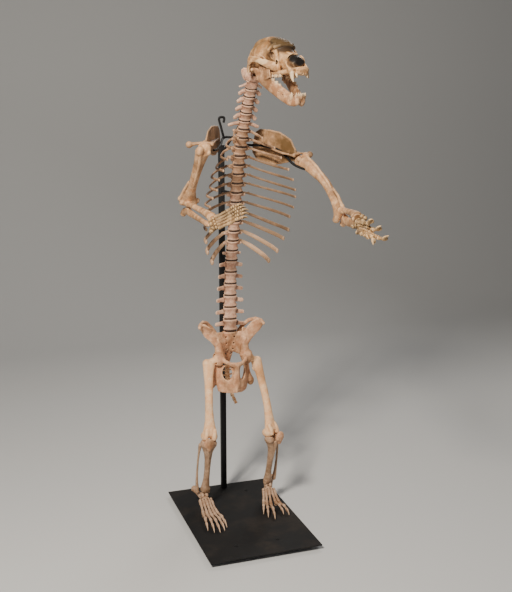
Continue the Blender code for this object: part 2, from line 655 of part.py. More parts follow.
# ---- Skull -----------------------------------------------------------------------------------
def skull_frame():
    """Axes of the skull: x to the bear's left, y up, z forward along the muzzle."""
    ahead = Vector((sin(SKULL_YAW), -cos(SKULL_YAW), 0.0))
    return bone_frame(SKULL_BASE, SKULL_BASE + ahead, (0, 0, 1), "left")


def tooth(shape, frame, root, tip, half):
    """A pointed tooth from its root to its tip, slightly curved."""
    root, tip = Vector(root), Vector(tip)
    middle = root.lerp(tip, 0.5) + Vector((0, 0, half * 0.4))
    tube(shape, frame, ((*root, half, half * 1.2), (*middle, half * 0.85, half),
                        (*tip, half * 0.25, half * 0.3)), sides=6)


def skull(material):
    frame = skull_frame()
    shape = bmesh.new()
    tube(shape, frame, ((0, 0.030, 0.004, 0.044, 0.046), (0, 0.056, 0.050, 0.050, 0.062),
                        (0, 0.066, 0.110, 0.054, 0.066), (0, 0.070, 0.165, 0.048, 0.060),
                        (0, 0.068, 0.220, 0.060, 0.066), (0, 0.060, 0.276, 0.058, 0.066),
                        (0, 0.028, 0.312, 0.047, 0.056), (0, 0.006, 0.350, 0.042, 0.048),
                        (0, -0.014, 0.388, 0.038, 0.036), (0, -0.030, 0.422, 0.034, 0.018)), sides=14)
    tube(shape, frame, ((0, 0.080, 0.000, 0.007, 0.014), (0, 0.118, 0.044, 0.008, 0.012),
                        (0, 0.132, 0.120, 0.012, 0.012), (0, 0.126, 0.195, 0.036, 0.016),
                        (0, 0.110, 0.280, 0.048, 0.020)))
    tube(shape, frame, ((0, -0.022, 0.160, 0.030, 0.016), (0, -0.030, 0.300, 0.038, 0.016),
                        (0, -0.034, 0.416, 0.034, 0.014)))
    for side in (-1, 1):
        tube(shape, frame, ((side * 0.048, 0.026, 0.060, 0.018, 0.012),
                            (side * 0.078, 0.020, 0.078, 0.017, 0.010),
                            (side * 0.100, 0.020, 0.122, 0.017, 0.008),
                            (side * 0.102, 0.022, 0.170, 0.019, 0.008),
                            (side * 0.088, 0.000, 0.226, 0.022, 0.011),
                            (side * 0.054, -0.012, 0.272, 0.024, 0.018)),
             across=(0, 1, 0))
        tube(shape, frame, ((side * 0.040, 0.092, 0.246, 0.018, 0.014),
                            (side * 0.070, 0.080, 0.240, 0.013, 0.011)))
        tube(shape, frame, ((side * 0.046, -0.034, 0.215, 0.010, 0.012),
                            (side * 0.042, -0.038, 0.330, 0.010, 0.012),
                            (side * 0.036, -0.038, 0.392, 0.012, 0.014)))
        tooth(shape, frame, (side * 0.037, -0.034, 0.388), (side * 0.043, -0.100, 0.404), 0.013)
        tube(shape, frame, ((side * 0.044, -0.050, 0.222, 0.007, 0.006),
                            (side * 0.041, -0.052, 0.330, 0.006, 0.006)))
        knob(shape, frame, (side * 0.022, 0.0, -0.004), (0.014, 0.016, 0.014))
        tube(shape, frame, ((side * 0.052, 0.010, 0.030, 0.010, 0.012),
                            (side * 0.056, -0.022, 0.034, 0.008, 0.010)))
    hollows = bmesh.new()
    for side in (-1, 1):
        knob(hollows, frame, (side * 0.078, 0.046, 0.236), (0.032, 0.028, 0.026))
    knob(hollows, frame, (0, 0.020, 0.376), (0.032, 0.040, 0.040))
    return fuse("skull", shape, material, 870, voxel=0.0035, hollows=hollows)


def mandible(material):
    frame = skull_frame()
    shape = bmesh.new()
    for side in (-1, 1):
        tube(shape, frame, ((side * 0.074, -0.034, 0.112, 0.044, 0.008),
                            (side * 0.070, -0.060, 0.160, 0.044, 0.009),
                            (side * 0.058, -0.098, 0.222, 0.034, 0.011),
                            (side * 0.044, -0.136, 0.296, 0.031, 0.012),
                            (side * 0.028, -0.162, 0.360, 0.029, 0.014),
                            (side * 0.015, -0.172, 0.396, 0.025, 0.015)),
             across=(0, 1, 0))
        tube(shape, frame, ((side * 0.072, -0.036, 0.136, 0.036, 0.006),
                            (side * 0.071, 0.000, 0.142, 0.026, 0.005),
                            (side * 0.070, 0.034, 0.134, 0.014, 0.004)), across=(0, 0, 1))
        tube(shape, frame, ((side * 0.058, -0.018, 0.084, 0.008, 0.008),
                            (side * 0.092, -0.018, 0.084, 0.008, 0.008)),
             across=(0, 1, 0))
        tube(shape, frame, ((side * 0.075, -0.018, 0.088, 0.014, 0.008),
                            (side * 0.073, -0.046, 0.110, 0.024, 0.009)),
             across=(0, 0, 1))
        tooth(shape, frame, (side * 0.031, -0.148, 0.380), (side * 0.040, -0.094, 0.398), 0.011)
        tube(shape, frame, ((side * 0.060, -0.070, 0.215, 0.006, 0.010),
                            (side * 0.042, -0.108, 0.318, 0.006, 0.008)))
    tube(shape, frame, ((-0.018, -0.152, 0.398, 0.010, 0.008), (0.018, -0.152, 0.398, 0.010, 0.008)),
         across=(0, 1, 0))
    return fuse("mandible", shape, material, 480, voxel=0.0035)


# ---- Stand -----------------------------------------------------------------------------------
def block(name, low, high, material):
    """A plain block between two corners."""
    shape = bmesh.new()
    bmesh.ops.create_cube(shape, size=1.0)
    low, high = Vector(low), Vector(high)
    size = high - low
    bmesh.ops.transform(shape, matrix=Matrix.Translation((low + high) / 2) @ Matrix.Diagonal((*size, 1.0)),
                        verts=shape.verts)
    return solid_object(name, shape, material)


def rod(name, routes, material, half=ROD_RADIUS):
    """Bent steel rods that are welded to each other, as one piece."""
    pieces = []
    for number, route in enumerate(routes):
        shape = bmesh.new()
        tube(shape, WORLD, [(*point, half, half) for point in route], across=(0.31, 0.23, 1.0), sides=6)
        pieces.append(solid_object(name if number == 0 else name + "_branch", shape, material))
    trunk = pieces[0]
    for branch in pieces[1:]:
        weld = trunk.modifiers.new("weld", "BOOLEAN")
        weld.operation = "UNION"
        weld.solver = "EXACT"
        weld.object = branch
        settle(trunk)
        bpy.data.objects.remove(branch)
    return trunk


def stand(material):
    clear = 0.0003
    plate_low = PLATE_TOP - PLATE_THICK
    half_x, half_y = BASE_WIDTH / 2, BASE_DEPTH / 2
    half_pole = POLE_SIDE / 2
    block("stand_base_plate", (-half_x, -half_y, plate_low), (half_x, half_y, PLATE_TOP), material)
    block("stand_base_frame", (-half_x + FRAME_INSET, -half_y + FRAME_INSET, 0),
          (half_x - FRAME_INSET, half_y - FRAME_INSET, plate_low - clear), material)
    block("stand_pole", (POLE_X - half_pole, POLE_Y - half_pole, PLATE_TOP + clear),
          (POLE_X + half_pole, POLE_Y + half_pole, POLE_TOP), material)
    pole_face = POLE_Y - half_pole - clear - ROD_RADIUS * 0.55
    yoke = rod("stand_yoke", ((YOKE_MIDDLE, YOKE, *ROD_RIGHT), (YOKE, *HOOK),
                              (YOKE_MIDDLE, *ROD_LEFT),
                              ((POLE_X, pole_face, POLE_TOP - 0.030),
                               (POLE_X, pole_face - 0.030, POLE_TOP - 0.028),
                               YOKE_MIDDLE)), material)
    brackets = []
    for number, height in enumerate(BRACKET_HEIGHTS):
        reach = 0.262 if number == 0 else 0.290 - 0.070 * (number - 1)
        route = ((POLE_X, pole_face, height), (POLE_X, reach, height))
        brackets.append(rod("stand_bracket_%d" % (number + 1), (route,), material))
    return yoke, brackets


# ---- Assembly --------------------------------------------------------------------------------
steel = finish("black_steel", STEEL_BLACK, 0.45, 0.6)
yoke, brackets = stand(steel)
basin = pelvis(finish("pelvis_bone", BONE_PALE))
lumbar = lumbar_spine(finish("lumbar_bone", BONE_PALE))
chest = [ribcage(side, finish("rib_bone_" + side, BONE)) for side in SIDE_SIGN]
neck_bones = neck(finish("neck_bone", BONE))
cranium = skull(finish("skull_bone", BONE_DARK))
jaw = mandible(finish("jaw_bone", BONE))
tail_bones = tail(finish("tail_bone", BONE))
clear_of(basin, brackets[0])
clear_of(lumbar, basin, brackets[1])
for half in chest:
    clear_of(half, lumbar, brackets[2], yoke)
clear_of(neck_bones, *chest)
clear_of(cranium, neck_bones)
clear_of(jaw, cranium, neck_bones)
clear_of(tail_bones, basin)
for side, half in zip(SIDE_SIGN, chest):
    thigh = femur(side, finish("femur_bone_" + side, BONE_PALE))
    shin = tibia(side, finish("tibia_bone_" + side, BONE_PALE))
    calf = fibula(side, finish("fibula_bone_" + side, BONE))
    cap = patella(side, finish("patella_bone_" + side, BONE))
    paw = foot(side, finish("foot_bone_" + side, BONE_PALE))
    clear_of(thigh, basin)
    clear_of(shin, thigh)
    clear_of(calf, shin, thigh)
    clear_of(cap, thigh, shin)
    clear_of(paw, shin, calf, bpy.data.objects["stand_base_plate"])
    upper = humerus(side, finish("humerus_bone_" + side, BONE_PALE))
    blade = scapula(side, finish("scapula_bone_" + side, BONE_DARK))
    radius, ulna = forearm(side, finish("forearm_bone_" + side, BONE))
    grip = hand(side, finish("hand_bone_" + side, BONE))
    clear_of(upper, yoke)
    clear_of(blade, upper, half, yoke)
    clear_of(radius, upper)
    clear_of(ulna, upper, radius)
    clear_of(grip, radius, ulna, half)
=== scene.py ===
# %% [markdown]
# # A cave bear on its museum mount
# This lesson dresses a plain solid model of a standing cave bear skeleton with finished bones, teeth,
# discs and steelwork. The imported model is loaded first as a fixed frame, so that every piece made here
# already knows where it belongs: metres, +Z up, the bear facing -Y, and +X on the bear's left.

import json
from math import cos, pi, radians, sin

import bpy
from mathutils import Matrix, Vector

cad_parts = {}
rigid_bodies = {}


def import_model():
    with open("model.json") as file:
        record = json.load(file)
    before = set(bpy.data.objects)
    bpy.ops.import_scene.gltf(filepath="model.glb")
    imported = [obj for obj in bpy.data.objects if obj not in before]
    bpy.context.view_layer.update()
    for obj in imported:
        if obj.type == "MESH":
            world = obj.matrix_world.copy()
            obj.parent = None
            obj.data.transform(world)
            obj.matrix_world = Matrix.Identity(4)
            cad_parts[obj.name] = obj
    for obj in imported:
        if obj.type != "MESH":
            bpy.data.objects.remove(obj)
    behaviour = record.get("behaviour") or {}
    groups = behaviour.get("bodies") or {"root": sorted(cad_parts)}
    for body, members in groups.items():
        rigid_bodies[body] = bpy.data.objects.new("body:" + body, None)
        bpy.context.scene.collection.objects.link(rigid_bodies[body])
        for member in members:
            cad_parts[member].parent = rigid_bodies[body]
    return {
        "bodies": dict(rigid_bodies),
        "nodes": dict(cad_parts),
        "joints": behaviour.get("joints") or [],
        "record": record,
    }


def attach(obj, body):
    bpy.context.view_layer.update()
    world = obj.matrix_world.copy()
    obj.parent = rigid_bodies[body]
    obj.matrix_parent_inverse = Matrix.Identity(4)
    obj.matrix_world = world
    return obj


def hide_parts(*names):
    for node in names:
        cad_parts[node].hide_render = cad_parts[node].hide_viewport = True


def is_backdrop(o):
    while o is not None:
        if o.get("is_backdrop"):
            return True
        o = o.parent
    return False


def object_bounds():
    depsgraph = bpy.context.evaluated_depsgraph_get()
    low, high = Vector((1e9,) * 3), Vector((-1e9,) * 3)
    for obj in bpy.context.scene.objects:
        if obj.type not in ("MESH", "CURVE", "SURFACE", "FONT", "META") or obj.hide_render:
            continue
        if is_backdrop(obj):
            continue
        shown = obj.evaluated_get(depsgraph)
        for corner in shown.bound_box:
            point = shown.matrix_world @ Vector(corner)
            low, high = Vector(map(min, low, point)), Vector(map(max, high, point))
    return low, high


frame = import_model()
cad_low, cad_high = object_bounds()
print("frame loaded, size", [round(side, 3) for side in cad_high - cad_low])

# %% [markdown]
# ## The camera
# A standing figure is best seen from a little to one side, with the lens above its waist. A camera
# could be turned with a constraint that tracks a target, but a location and two plain angles, the turn
# about the vertical and the downward tilt, are easy to read and stay put when other views are made.

# %% Place the camera
CAMERA_PLACE = Vector((-1.36, -4.175, 2.133))
CAMERA_TURN = radians(-19.189)
CAMERA_TILT = radians(11.056)
FRAME_HEIGHT = 592
FOCAL_IN_PIXELS = 850.2
SENSOR_HEIGHT = 36.0

looking = Vector((-sin(CAMERA_TURN) * cos(CAMERA_TILT), cos(CAMERA_TURN) * cos(CAMERA_TILT), -sin(CAMERA_TILT)))
bpy.ops.object.camera_add(location=CAMERA_PLACE, rotation=looking.to_track_quat("-Z", "Y").to_euler())
camera = bpy.context.object
camera.data.sensor_fit = "VERTICAL"
camera.data.sensor_height = SENSOR_HEIGHT
camera.data.lens = FOCAL_IN_PIXELS / FRAME_HEIGHT * SENSOR_HEIGHT
bpy.context.scene.camera = camera
print("lens", round(camera.data.lens, 1), "mm")

# %% [markdown]
# ## The studio floor
# The floor is one pale sheet that bends up into a wall far behind, like the paper roll of a studio, so
# that no horizon cuts across the bones. A floor and a wall of its own would be quicker to make, but would
# show the line where they meet. It is marked as stage, because it isn't part of the exhibit.

# %% Lay the floor
FLOOR_COLOUR = (0.66, 0.67, 0.68, 1.0)
FLOOR_SIZE, WALL_PLACE, WALL_HEIGHT, SWEEP = 24.0, 7.0, 9.0, 3.0
SWEEP_STEPS, FLOOR_ROUGHNESS = 24, 0.75
bpy.ops.object.select_all(action="DESELECT")
bpy.ops.mesh.primitive_plane_add(size=1.0, location=(0.0, 0.0, 0.0))
floor = bpy.context.object
floor.name = "studio_floor"
bpy.ops.object.mode_set(mode="EDIT")
bpy.ops.transform.resize(value=(FLOOR_SIZE, 2 * WALL_PLACE, 1.0))
bpy.ops.mesh.select_mode(type="EDGE")
bpy.ops.mesh.select_all(action="DESELECT")
bpy.ops.object.mode_set(mode="OBJECT")
corners = floor.data.vertices
for edge in floor.data.edges:
    edge.select = all(corners[index].co.y > 0 for index in edge.vertices)
bpy.ops.object.mode_set(mode="EDIT")
bpy.ops.mesh.extrude_edges_move(TRANSFORM_OT_translate={"value": (0.0, 0.0, WALL_HEIGHT)})
bpy.ops.object.mode_set(mode="OBJECT")
corners = floor.data.vertices
for edge in floor.data.edges:
    ends = [corners[index].co for index in edge.vertices]
    edge.select = all(end.y > 0 and end.z < WALL_HEIGHT / 2 for end in ends)
bpy.ops.object.mode_set(mode="EDIT")
bpy.ops.mesh.bevel(offset=SWEEP, segments=SWEEP_STEPS, affect="EDGES")
bpy.ops.object.mode_set(mode="OBJECT")
bpy.ops.object.shade_smooth()
floor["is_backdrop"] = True
floor_paint = bpy.data.materials.new("studio_floor_paint")
floor_paint.use_nodes = True
floor_shader = floor_paint.node_tree.nodes["Principled BSDF"]
floor_shader.inputs["Base Color"].default_value = FLOOR_COLOUR
floor_shader.inputs["Roughness"].default_value = FLOOR_ROUGHNESS
floor.data.materials.append(floor_paint)
print("floor", FLOOR_SIZE, "m wide, wall", WALL_HEIGHT, "m high")

# %% [markdown]
# ## The lamps
# A skeleton is all thin, crossing shapes, so it is lit softly from one high side, filled from the
# other, and edged from behind. A single small lamp would draw every rib twice, once as its shadow.

# %% Hang the lamps
def soft_lamp(name, place, aim, size, watts, colour):
    """A square lamp at a place, turned to face a point."""
    way = Vector(aim) - Vector(place)
    bpy.ops.object.light_add(type="AREA", location=place, rotation=way.to_track_quat("-Z", "Y").to_euler())
    lamp = bpy.context.object
    lamp.name = name
    lamp.data.size = size
    lamp.data.energy = watts
    lamp.data.color = colour


CHEST = (0.0, 0.0, 1.6)
soft_lamp("key_lamp", (-2.4, -3.0, 4.3), CHEST, size=0.8, watts=360, colour=(1.0, 0.92, 0.8))
soft_lamp("fill_lamp", (3.4, -2.8, 1.8), CHEST, size=2.4, watts=20, colour=(1.0, 0.95, 0.9))
soft_lamp("edge_lamp", (2.2, 2.6, 4.2), CHEST, size=1.4, watts=55, colour=(1.0, 0.96, 0.9))
world = bpy.data.worlds.new("studio_air")
bpy.context.scene.world = world
world.use_nodes = True
world.node_tree.nodes["Background"].inputs["Color"].default_value = (0.8, 0.79, 0.78, 1.0)
world.node_tree.nodes["Background"].inputs["Strength"].default_value = 0.12

# %% [markdown]
# ## A frame for each bone
# A bone is easiest to describe along its own length: so far from its end, so far to its front. So each
# bone gets a frame of its own, a matrix with z along the bone, that is marked off in millimetres. All
# places could be given in the room's axes instead, but a number that is read along a bone can be
# checked with a ruler on a real one.

# %% Frames
WORLD = Matrix.Identity(4)
MM = Matrix.Scale(0.001, 4)  # the same place, marked off in millimetres


def axes(start, end, front, side="left"):
    """A bone's own frame: z from its start to its end, y to its front, x away from the midline."""
    start = Vector(start)
    along = (Vector(end) - start).normalized()
    front = Vector(front)
    ahead = (front - along * front.dot(along)).normalized()
    outward = ahead.cross(along)
    if side == "right":
        outward = -outward
    turn = Matrix((outward, ahead, along)).transposed().to_4x4()
    return Matrix.Translation(start) @ turn


def span(start, end, front, side="left"):
    """A bone's own frame, marked off in millimetres, and the bone's length in millimetres."""
    return axes(start, end, front, side) @ MM, (Vector(end) - Vector(start)).length * 1000


def flanks(frame):
    """A frame and its mirror image, each with its side, for what comes in pairs."""
    return [(side, frame @ Matrix.Diagonal((side, 1, 1, 1))) for side in (-1, 1)]


print("a bone's frame is marked off in steps of", round(MM.col[0].length, 4), "m")

# %% [markdown]
# ## Hoops and lumps
# A bone is a shaft with lumps. The shaft is lofted: hoops are set along its line like the hoops of a
# barrel, pulled to their width and depth, and bridged. The lumps, where joints and muscles sat, are
# stretched balls. Sculpting by hand would reach the same end, but lofts keep every width and place
# a number that can be read.

# %% Hoops, lofts and lumps
ALONG, AHEAD = (0, 0, 1), (0, 1, 0)  # ways across a loft, in its frame
END_SHARE = 0.62  # how wide the rounded end of a loft is, as a share of its last hoop


def open_piece(name):
    """Start an empty mesh and open it for building."""
    bpy.ops.object.select_all(action="DESELECT")
    bpy.ops.object.add(type="MESH", enter_editmode=True, location=(0.0, 0.0, 0.0))
    piece = bpy.context.object
    piece.name = name
    piece.data.name = name
    return piece


def stretch(widths, turn, centre):
    """Scale what is selected along turned axes, about a centre."""
    bpy.ops.transform.resize(value=widths, orient_type="GLOBAL", orient_matrix=turn,
                             orient_matrix_type="GLOBAL", center_override=centre)


def set_aside():
    """Hide the finished shape, so that the next one is bridged alone."""
    bpy.ops.mesh.select_all(action="SELECT")
    bpy.ops.mesh.hide(unselected=False)


def loft(frame, stations, across=(1, 0, 0), sides=12, dome=0.55):
    """Hoops at stations (x, y, z, half width, half depth), bridged into a shaft with rounded ends.

    The stations are read in the frame's own unit.
    """
    wide = (frame.to_3x3() @ Vector(across)).normalized()
    unit = frame.col[0].length
    centres = [frame @ Vector(station[:3]) for station in stations]
    halves = [(station[3] * unit, station[4] * unit) for station in stations]
    first = (centres[0] - centres[1]).normalized() * min(halves[0]) * dome
    last = (centres[-1] - centres[-2]).normalized() * min(halves[-1]) * dome
    centres = [centres[0] + first] + centres + [centres[-1] + last]
    ends = [(wide_half * END_SHARE, deep_half * END_SHARE) for wide_half, deep_half in (halves[0], halves[-1])]
    halves = ends[:1] + halves + ends[1:]
    for index, centre in enumerate(centres):
        tangent = (centres[min(index + 1, len(centres) - 1)] - centres[max(index - 1, 0)]).normalized()
        right = (wide - tangent * wide.dot(tangent)).normalized()
        hoop = Matrix((right, tangent.cross(right), tangent)).transposed()
        bpy.ops.mesh.primitive_circle_add(vertices=sides, radius=1.0, location=centre, rotation=hoop.to_euler())
        stretch((halves[index][0], halves[index][1], 1.0), hoop, centre)
    bpy.ops.mesh.select_all(action="SELECT")
    bpy.ops.mesh.bridge_edge_loops()
    bpy.ops.mesh.fill_holes(sides=0)
    set_aside()


def lump(frame, centre, radii, fine=3):
    """A ball at a place in the frame, stretched along the frame's axes."""
    spot = frame @ Vector(centre)
    unit = frame.col[0].length
    bpy.ops.mesh.primitive_ico_sphere_add(subdivisions=fine, radius=1.0, location=spot)
    stretch([radius * unit for radius in radii], frame.to_3x3().normalized(), spot)
    set_aside()

# %% [markdown]
# ## One skin for each bone
# A real bone has one unbroken surface with no sharp creases. Everything of one bone is laid into one mesh.
# A voxel remesh then melts the shapes into a single skin, and smoothing rounds the creases the way a
# living bone is rounded. Joining the shapes with booleans would keep hard seams.

# %% Melt and round
def pick(*pieces):
    """Select only these pieces, and make the first one active."""
    bpy.ops.object.select_all(action="DESELECT")
    for piece in pieces:
        piece.select_set(True)
    bpy.context.view_layer.objects.active = pieces[0]


def apply_all(piece):
    """Apply every modifier of a piece, first to last."""
    pick(piece)
    for modifier in list(piece.modifiers):
        bpy.ops.object.modifier_apply(modifier=modifier.name)


def close_shapes():
    """Leave edit mode with every laid shape back in view and facing outwards."""
    bpy.ops.mesh.reveal(select=True)
    bpy.ops.mesh.select_all(action="SELECT")
    bpy.ops.mesh.normals_make_consistent(inside=False)
    bpy.ops.object.mode_set(mode="OBJECT")


def melt_and_round(piece, cell, rounds, strength=0.5):
    """Remesh a piece into one skin of small cells, and smooth its creases."""
    remesh = piece.modifiers.new("melt", "REMESH")
    remesh.mode = "VOXEL"
    remesh.voxel_size = cell
    smooth = piece.modifiers.new("round", "SMOOTH")
    smooth.factor = strength
    smooth.iterations = rounds
    apply_all(piece)


def melt(piece, cell, rounds, strength=0.5):
    """Close the laid shapes and melt them into one skin."""
    close_shapes()
    melt_and_round(piece, cell, rounds, strength)


# %% [markdown]
# ## Hollows and weather
# Joint sockets and nerve holes have soft rims on a real bone. They are cut out with one cutter, and the
# new edges are melted like the rest. No bone is quite smooth either, so clouds push the skin in and out
# by a millimetre or two.

# %% Hollow and weather
def hollow_out(piece, cutter, cell, rounds=4):
    """Take the cutter out of the piece, then melt and round the new edges."""
    close_shapes()
    carve = piece.modifiers.new("carve", "BOOLEAN")
    carve.operation = "DIFFERENCE"
    carve.solver = "MANIFOLD"
    carve.object = cutter
    melt_and_round(piece, cell, rounds)
    bpy.data.objects.remove(cutter)


def weather(piece, height, size):
    """Give the skin the low swellings of real bone, with clouds laid along its normals."""
    clouds = bpy.data.textures.new(piece.name + "_swell", "CLOUDS")
    clouds.noise_scale = size
    clouds.noise_depth = 2
    swell = piece.modifiers.new("swell", "DISPLACE")
    swell.texture = clouds
    swell.texture_coords = "LOCAL"
    swell.strength = height
    swell.mid_level = 0.5
    apply_all(piece)

# %% [markdown]
# ## Handing a piece over
# One helper does this for every piece, so that no piece is forgotten.

# %% Finish a piece
finished = []


def finish_piece(piece, material, slot, *nodes):
    """Shade, paint and register a piece: it rides on the mount and stands for its solids."""
    pick(piece)
    bpy.ops.object.shade_smooth()
    piece.data.materials.clear()
    piece.data.materials.append(material)
    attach(piece, "root")
    if nodes:
        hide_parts(*nodes)
    finished.append(piece)
    faces = sum(len(face.vertices) - 2 for face in piece.data.polygons)
    print("%-24s %7d triangles" % (piece.name, faces))


# %% [markdown]
# ## Finishes
# Old bone isn't one colour. It is a warm tan that has soaked up the soil of its cave: broad clouds of
# ochre and olive brown, small freckles, darker hollows where dirt stays and shade is painted in, and
# paler ridges where hands and brushes have rubbed, which also carry a painted highlight. The clouds come
# from noise in the piece's own space, the hollows and ridges from the curvature of its mesh, and the
# fine pits from a bump.

# %% Noise, ramps and mixes
def link_noise(tree, coordinates, scale, detail, roughness):
    """A noise texture in the piece's own space."""
    noise = tree.nodes.new("ShaderNodeTexNoise")
    for socket, value in (("Scale", scale), ("Detail", detail), ("Roughness", roughness)):
        noise.inputs[socket].default_value = value
    tree.links.new(coordinates.outputs["Object"], noise.inputs["Vector"])
    return noise.outputs["Fac"]


def link_ramp(tree, source, *stops):
    """A colour ramp read by a value: stops are (place, grey)."""
    ramp = tree.nodes.new("ShaderNodeValToRGB")
    tree.links.new(source, ramp.inputs["Fac"])
    elements = ramp.color_ramp.elements
    while len(elements) < len(stops):
        elements.new(0.5)
    for element, (place, grey) in zip(elements, stops):
        element.position = place
        element.color = (grey, grey, grey, 1.0)
    return ramp.outputs["Color"]


def link_mix(tree, share, first, second):
    """Mix two colours, each a socket or a constant, by a socket or a number."""
    mix = tree.nodes.new("ShaderNodeMix")
    mix.data_type = "RGBA"
    for socket, value in (("Factor", share), ("A", first), ("B", second)):
        entry = next(i for i in mix.inputs if i.name == socket and i.enabled)
        if isinstance(value, bpy.types.NodeSocket):
            tree.links.new(value, entry)
        elif isinstance(value, float):
            entry.default_value = value
        else:
            entry.default_value = (*value, 1.0)
    return next(o for o in mix.outputs if o.enabled)


# %% [markdown]
# ## Zones and surface
# Some marks sit in one place, such as the painted shade on the forehead or the painted highlight on the
# cheek arch. Each is an oval with a soft edge, measured from its centre in the piece's own space, and
# needs no painted map. The feel of the surface comes from a roughness that follows the clouds and a bump
# for the fine pits.

# %% Zones and surface
ZONE_CORE, ZONE_EDGE = 0.7, 1.15


def link_zone(tree, coordinates, centre, radii, strength):
    """A soft-edged oval zone in the piece's own space: its strength inside it, 0 outside."""
    previous = coordinates.outputs["Object"]
    for operation, value in (("SUBTRACT", centre), ("DIVIDE", radii), ("LENGTH", None)):
        step = tree.nodes.new("ShaderNodeVectorMath")
        step.operation = operation
        tree.links.new(previous, step.inputs[0])
        if value:
            step.inputs[1].default_value = value
        previous = step.outputs[0]
    edge = tree.nodes.new("ShaderNodeMapRange")
    edge.interpolation_type = "SMOOTHSTEP"
    limits = {"From Min": ZONE_CORE, "From Max": ZONE_EDGE, "To Min": strength, "To Max": 0.0}
    for socket, value in limits.items():
        edge.inputs[socket].default_value = value
    tree.links.new(step.outputs["Value"], edge.inputs["Value"])
    return edge.outputs["Result"]


def open_finish(name):
    """A new material, its node tree, its shader and the coordinates of the piece's own space."""
    material = bpy.data.materials.new(name)
    material.use_nodes = True
    tree = material.node_tree
    return material, tree, tree.nodes["Principled BSDF"], tree.nodes.new("ShaderNodeTexCoord")


def link_surface(tree, shader, clouds, gloss_range, height, strength, depth):
    """Roughness that varies with a noise, and a bump of some strength and depth."""
    gloss = tree.nodes.new("ShaderNodeMapRange")
    gloss.inputs["To Min"].default_value, gloss.inputs["To Max"].default_value = gloss_range
    tree.links.new(clouds, gloss.inputs["Value"])
    tree.links.new(gloss.outputs["Result"], shader.inputs["Roughness"])
    bump = tree.nodes.new("ShaderNodeBump")
    bump.inputs["Strength"].default_value = strength
    bump.inputs["Distance"].default_value = depth
    tree.links.new(height, bump.inputs["Height"])
    tree.links.new(bump.outputs["Normal"], shader.inputs["Normal"])


# %% [markdown]
# ## Bone and steel
# Bone gets its colours in layers: base, pale patches, stains, freckles, rubbed ridges with a painted
# highlight, zones, among them painted shade and a painted highlight, and dirt with painted shade in the
# hollows. The steel is painted satin black and has caught some dust. An image could be painted for
# each bone, but noise in the piece's own space needs no image, has no seams and is just as sharp close up.

# %% Recipes for bone and steel
# Colour of the hollows: the soil of the cave, and painted shade where light reaches less
SOIL_AND_SHADE = (0.04, 0.018, 0.008)


def bone_finish(name, base, pale, stain, stained, hollow_dirt_and_shade=SOIL_AND_SHADE, rough=0.58, zones=()):
    """Old bone: base colour, pale ridges of wear and painted highlight, dirt and painted shade in the hollows,
    and zones of other colour.

    `stained` tells how far the stain has soaked in, from 0 to 1.
    """
    material, tree, shader, place = open_finish(name)
    broad = link_noise(tree, place, scale=9.0, detail=4.0, roughness=0.62)
    patches = link_noise(tree, place, scale=34.0, detail=5.0, roughness=0.65)
    freckles = link_noise(tree, place, scale=210.0, detail=3.0, roughness=0.7)
    grain = link_noise(tree, place, scale=620.0, detail=2.0, roughness=0.6)
    shape = tree.nodes.new("ShaderNodeNewGeometry")
    colour = link_mix(tree, link_ramp(tree, patches, (0.42, 0.0), (0.66, 0.75)), base, pale)
    soaked = link_ramp(tree, broad, (0.62 - 0.3 * stained, 0.0), (0.86 - 0.3 * stained, 0.9))
    colour = link_mix(tree, soaked, colour, stain)
    colour = link_mix(tree, link_ramp(tree, freckles, (0.56, 0.0), (0.72, 0.42)), colour, stain)
    # Paler convex ridges: rubbed wear, and a painted highlight
    ridge_wear_and_highlight = link_ramp(tree, shape.outputs["Pointiness"], (0.508, 0.0), (0.548, 0.85))
    colour = link_mix(tree, ridge_wear_and_highlight, colour, pale)
    # Zones given with each finish, some of them painted shade and one a painted highlight
    for centre, radii, tint, strength in zones:
        colour = link_mix(tree, link_zone(tree, place, centre, radii, strength), colour, tint)
    # Darker concave hollows: dirt, and painted shade
    hollows = link_ramp(tree, shape.outputs["Pointiness"], (0.452, 1.0), (0.497, 0.0))
    colour = link_mix(tree, hollows, colour, hollow_dirt_and_shade)
    tree.links.new(colour, shader.inputs["Base Color"])
    height = link_mix(tree, 0.45, freckles, grain)
    link_surface(tree, shader, patches, (rough - 0.12, rough + 0.14), height,
                 strength=0.35, depth=0.0012)
    shader.inputs["Specular IOR Level"].default_value = 0.42
    return material


def steel_finish(name, colour, dust, dusty):
    """Satin black paint on steel, with settled dust and fine wear."""
    material, tree, shader, place = open_finish(name)
    drift = link_noise(tree, place, scale=5.0, detail=6.0, roughness=0.7)
    specks = link_noise(tree, place, scale=260.0, detail=3.0, roughness=0.75)
    settled = link_ramp(tree, drift, (0.48, 0.0), (0.78, dusty))
    paint = link_mix(tree, settled, colour, dust)
    paint = link_mix(tree, link_ramp(tree, specks, (0.62, 0.0), (0.74, dusty)), paint, dust)
    tree.links.new(paint, shader.inputs["Base Color"])
    link_surface(tree, shader, drift, (0.5, 0.8), specks, strength=0.12, depth=0.0008)
    shader.inputs["Specular IOR Level"].default_value = 0.25
    return material


# %% [markdown]
# ## The finishes of this mount
# The chest and the shins are dark, the thighs and arms are pale, and the shoulder blades lean to olive.
# Each finish has a base colour, a paler one for its patches and its rubbed ridges, which carry a painted
# highlight, and a darker one for its stains. One finish for all would be simpler, but a skeleton from a
# cave is never of one colour.

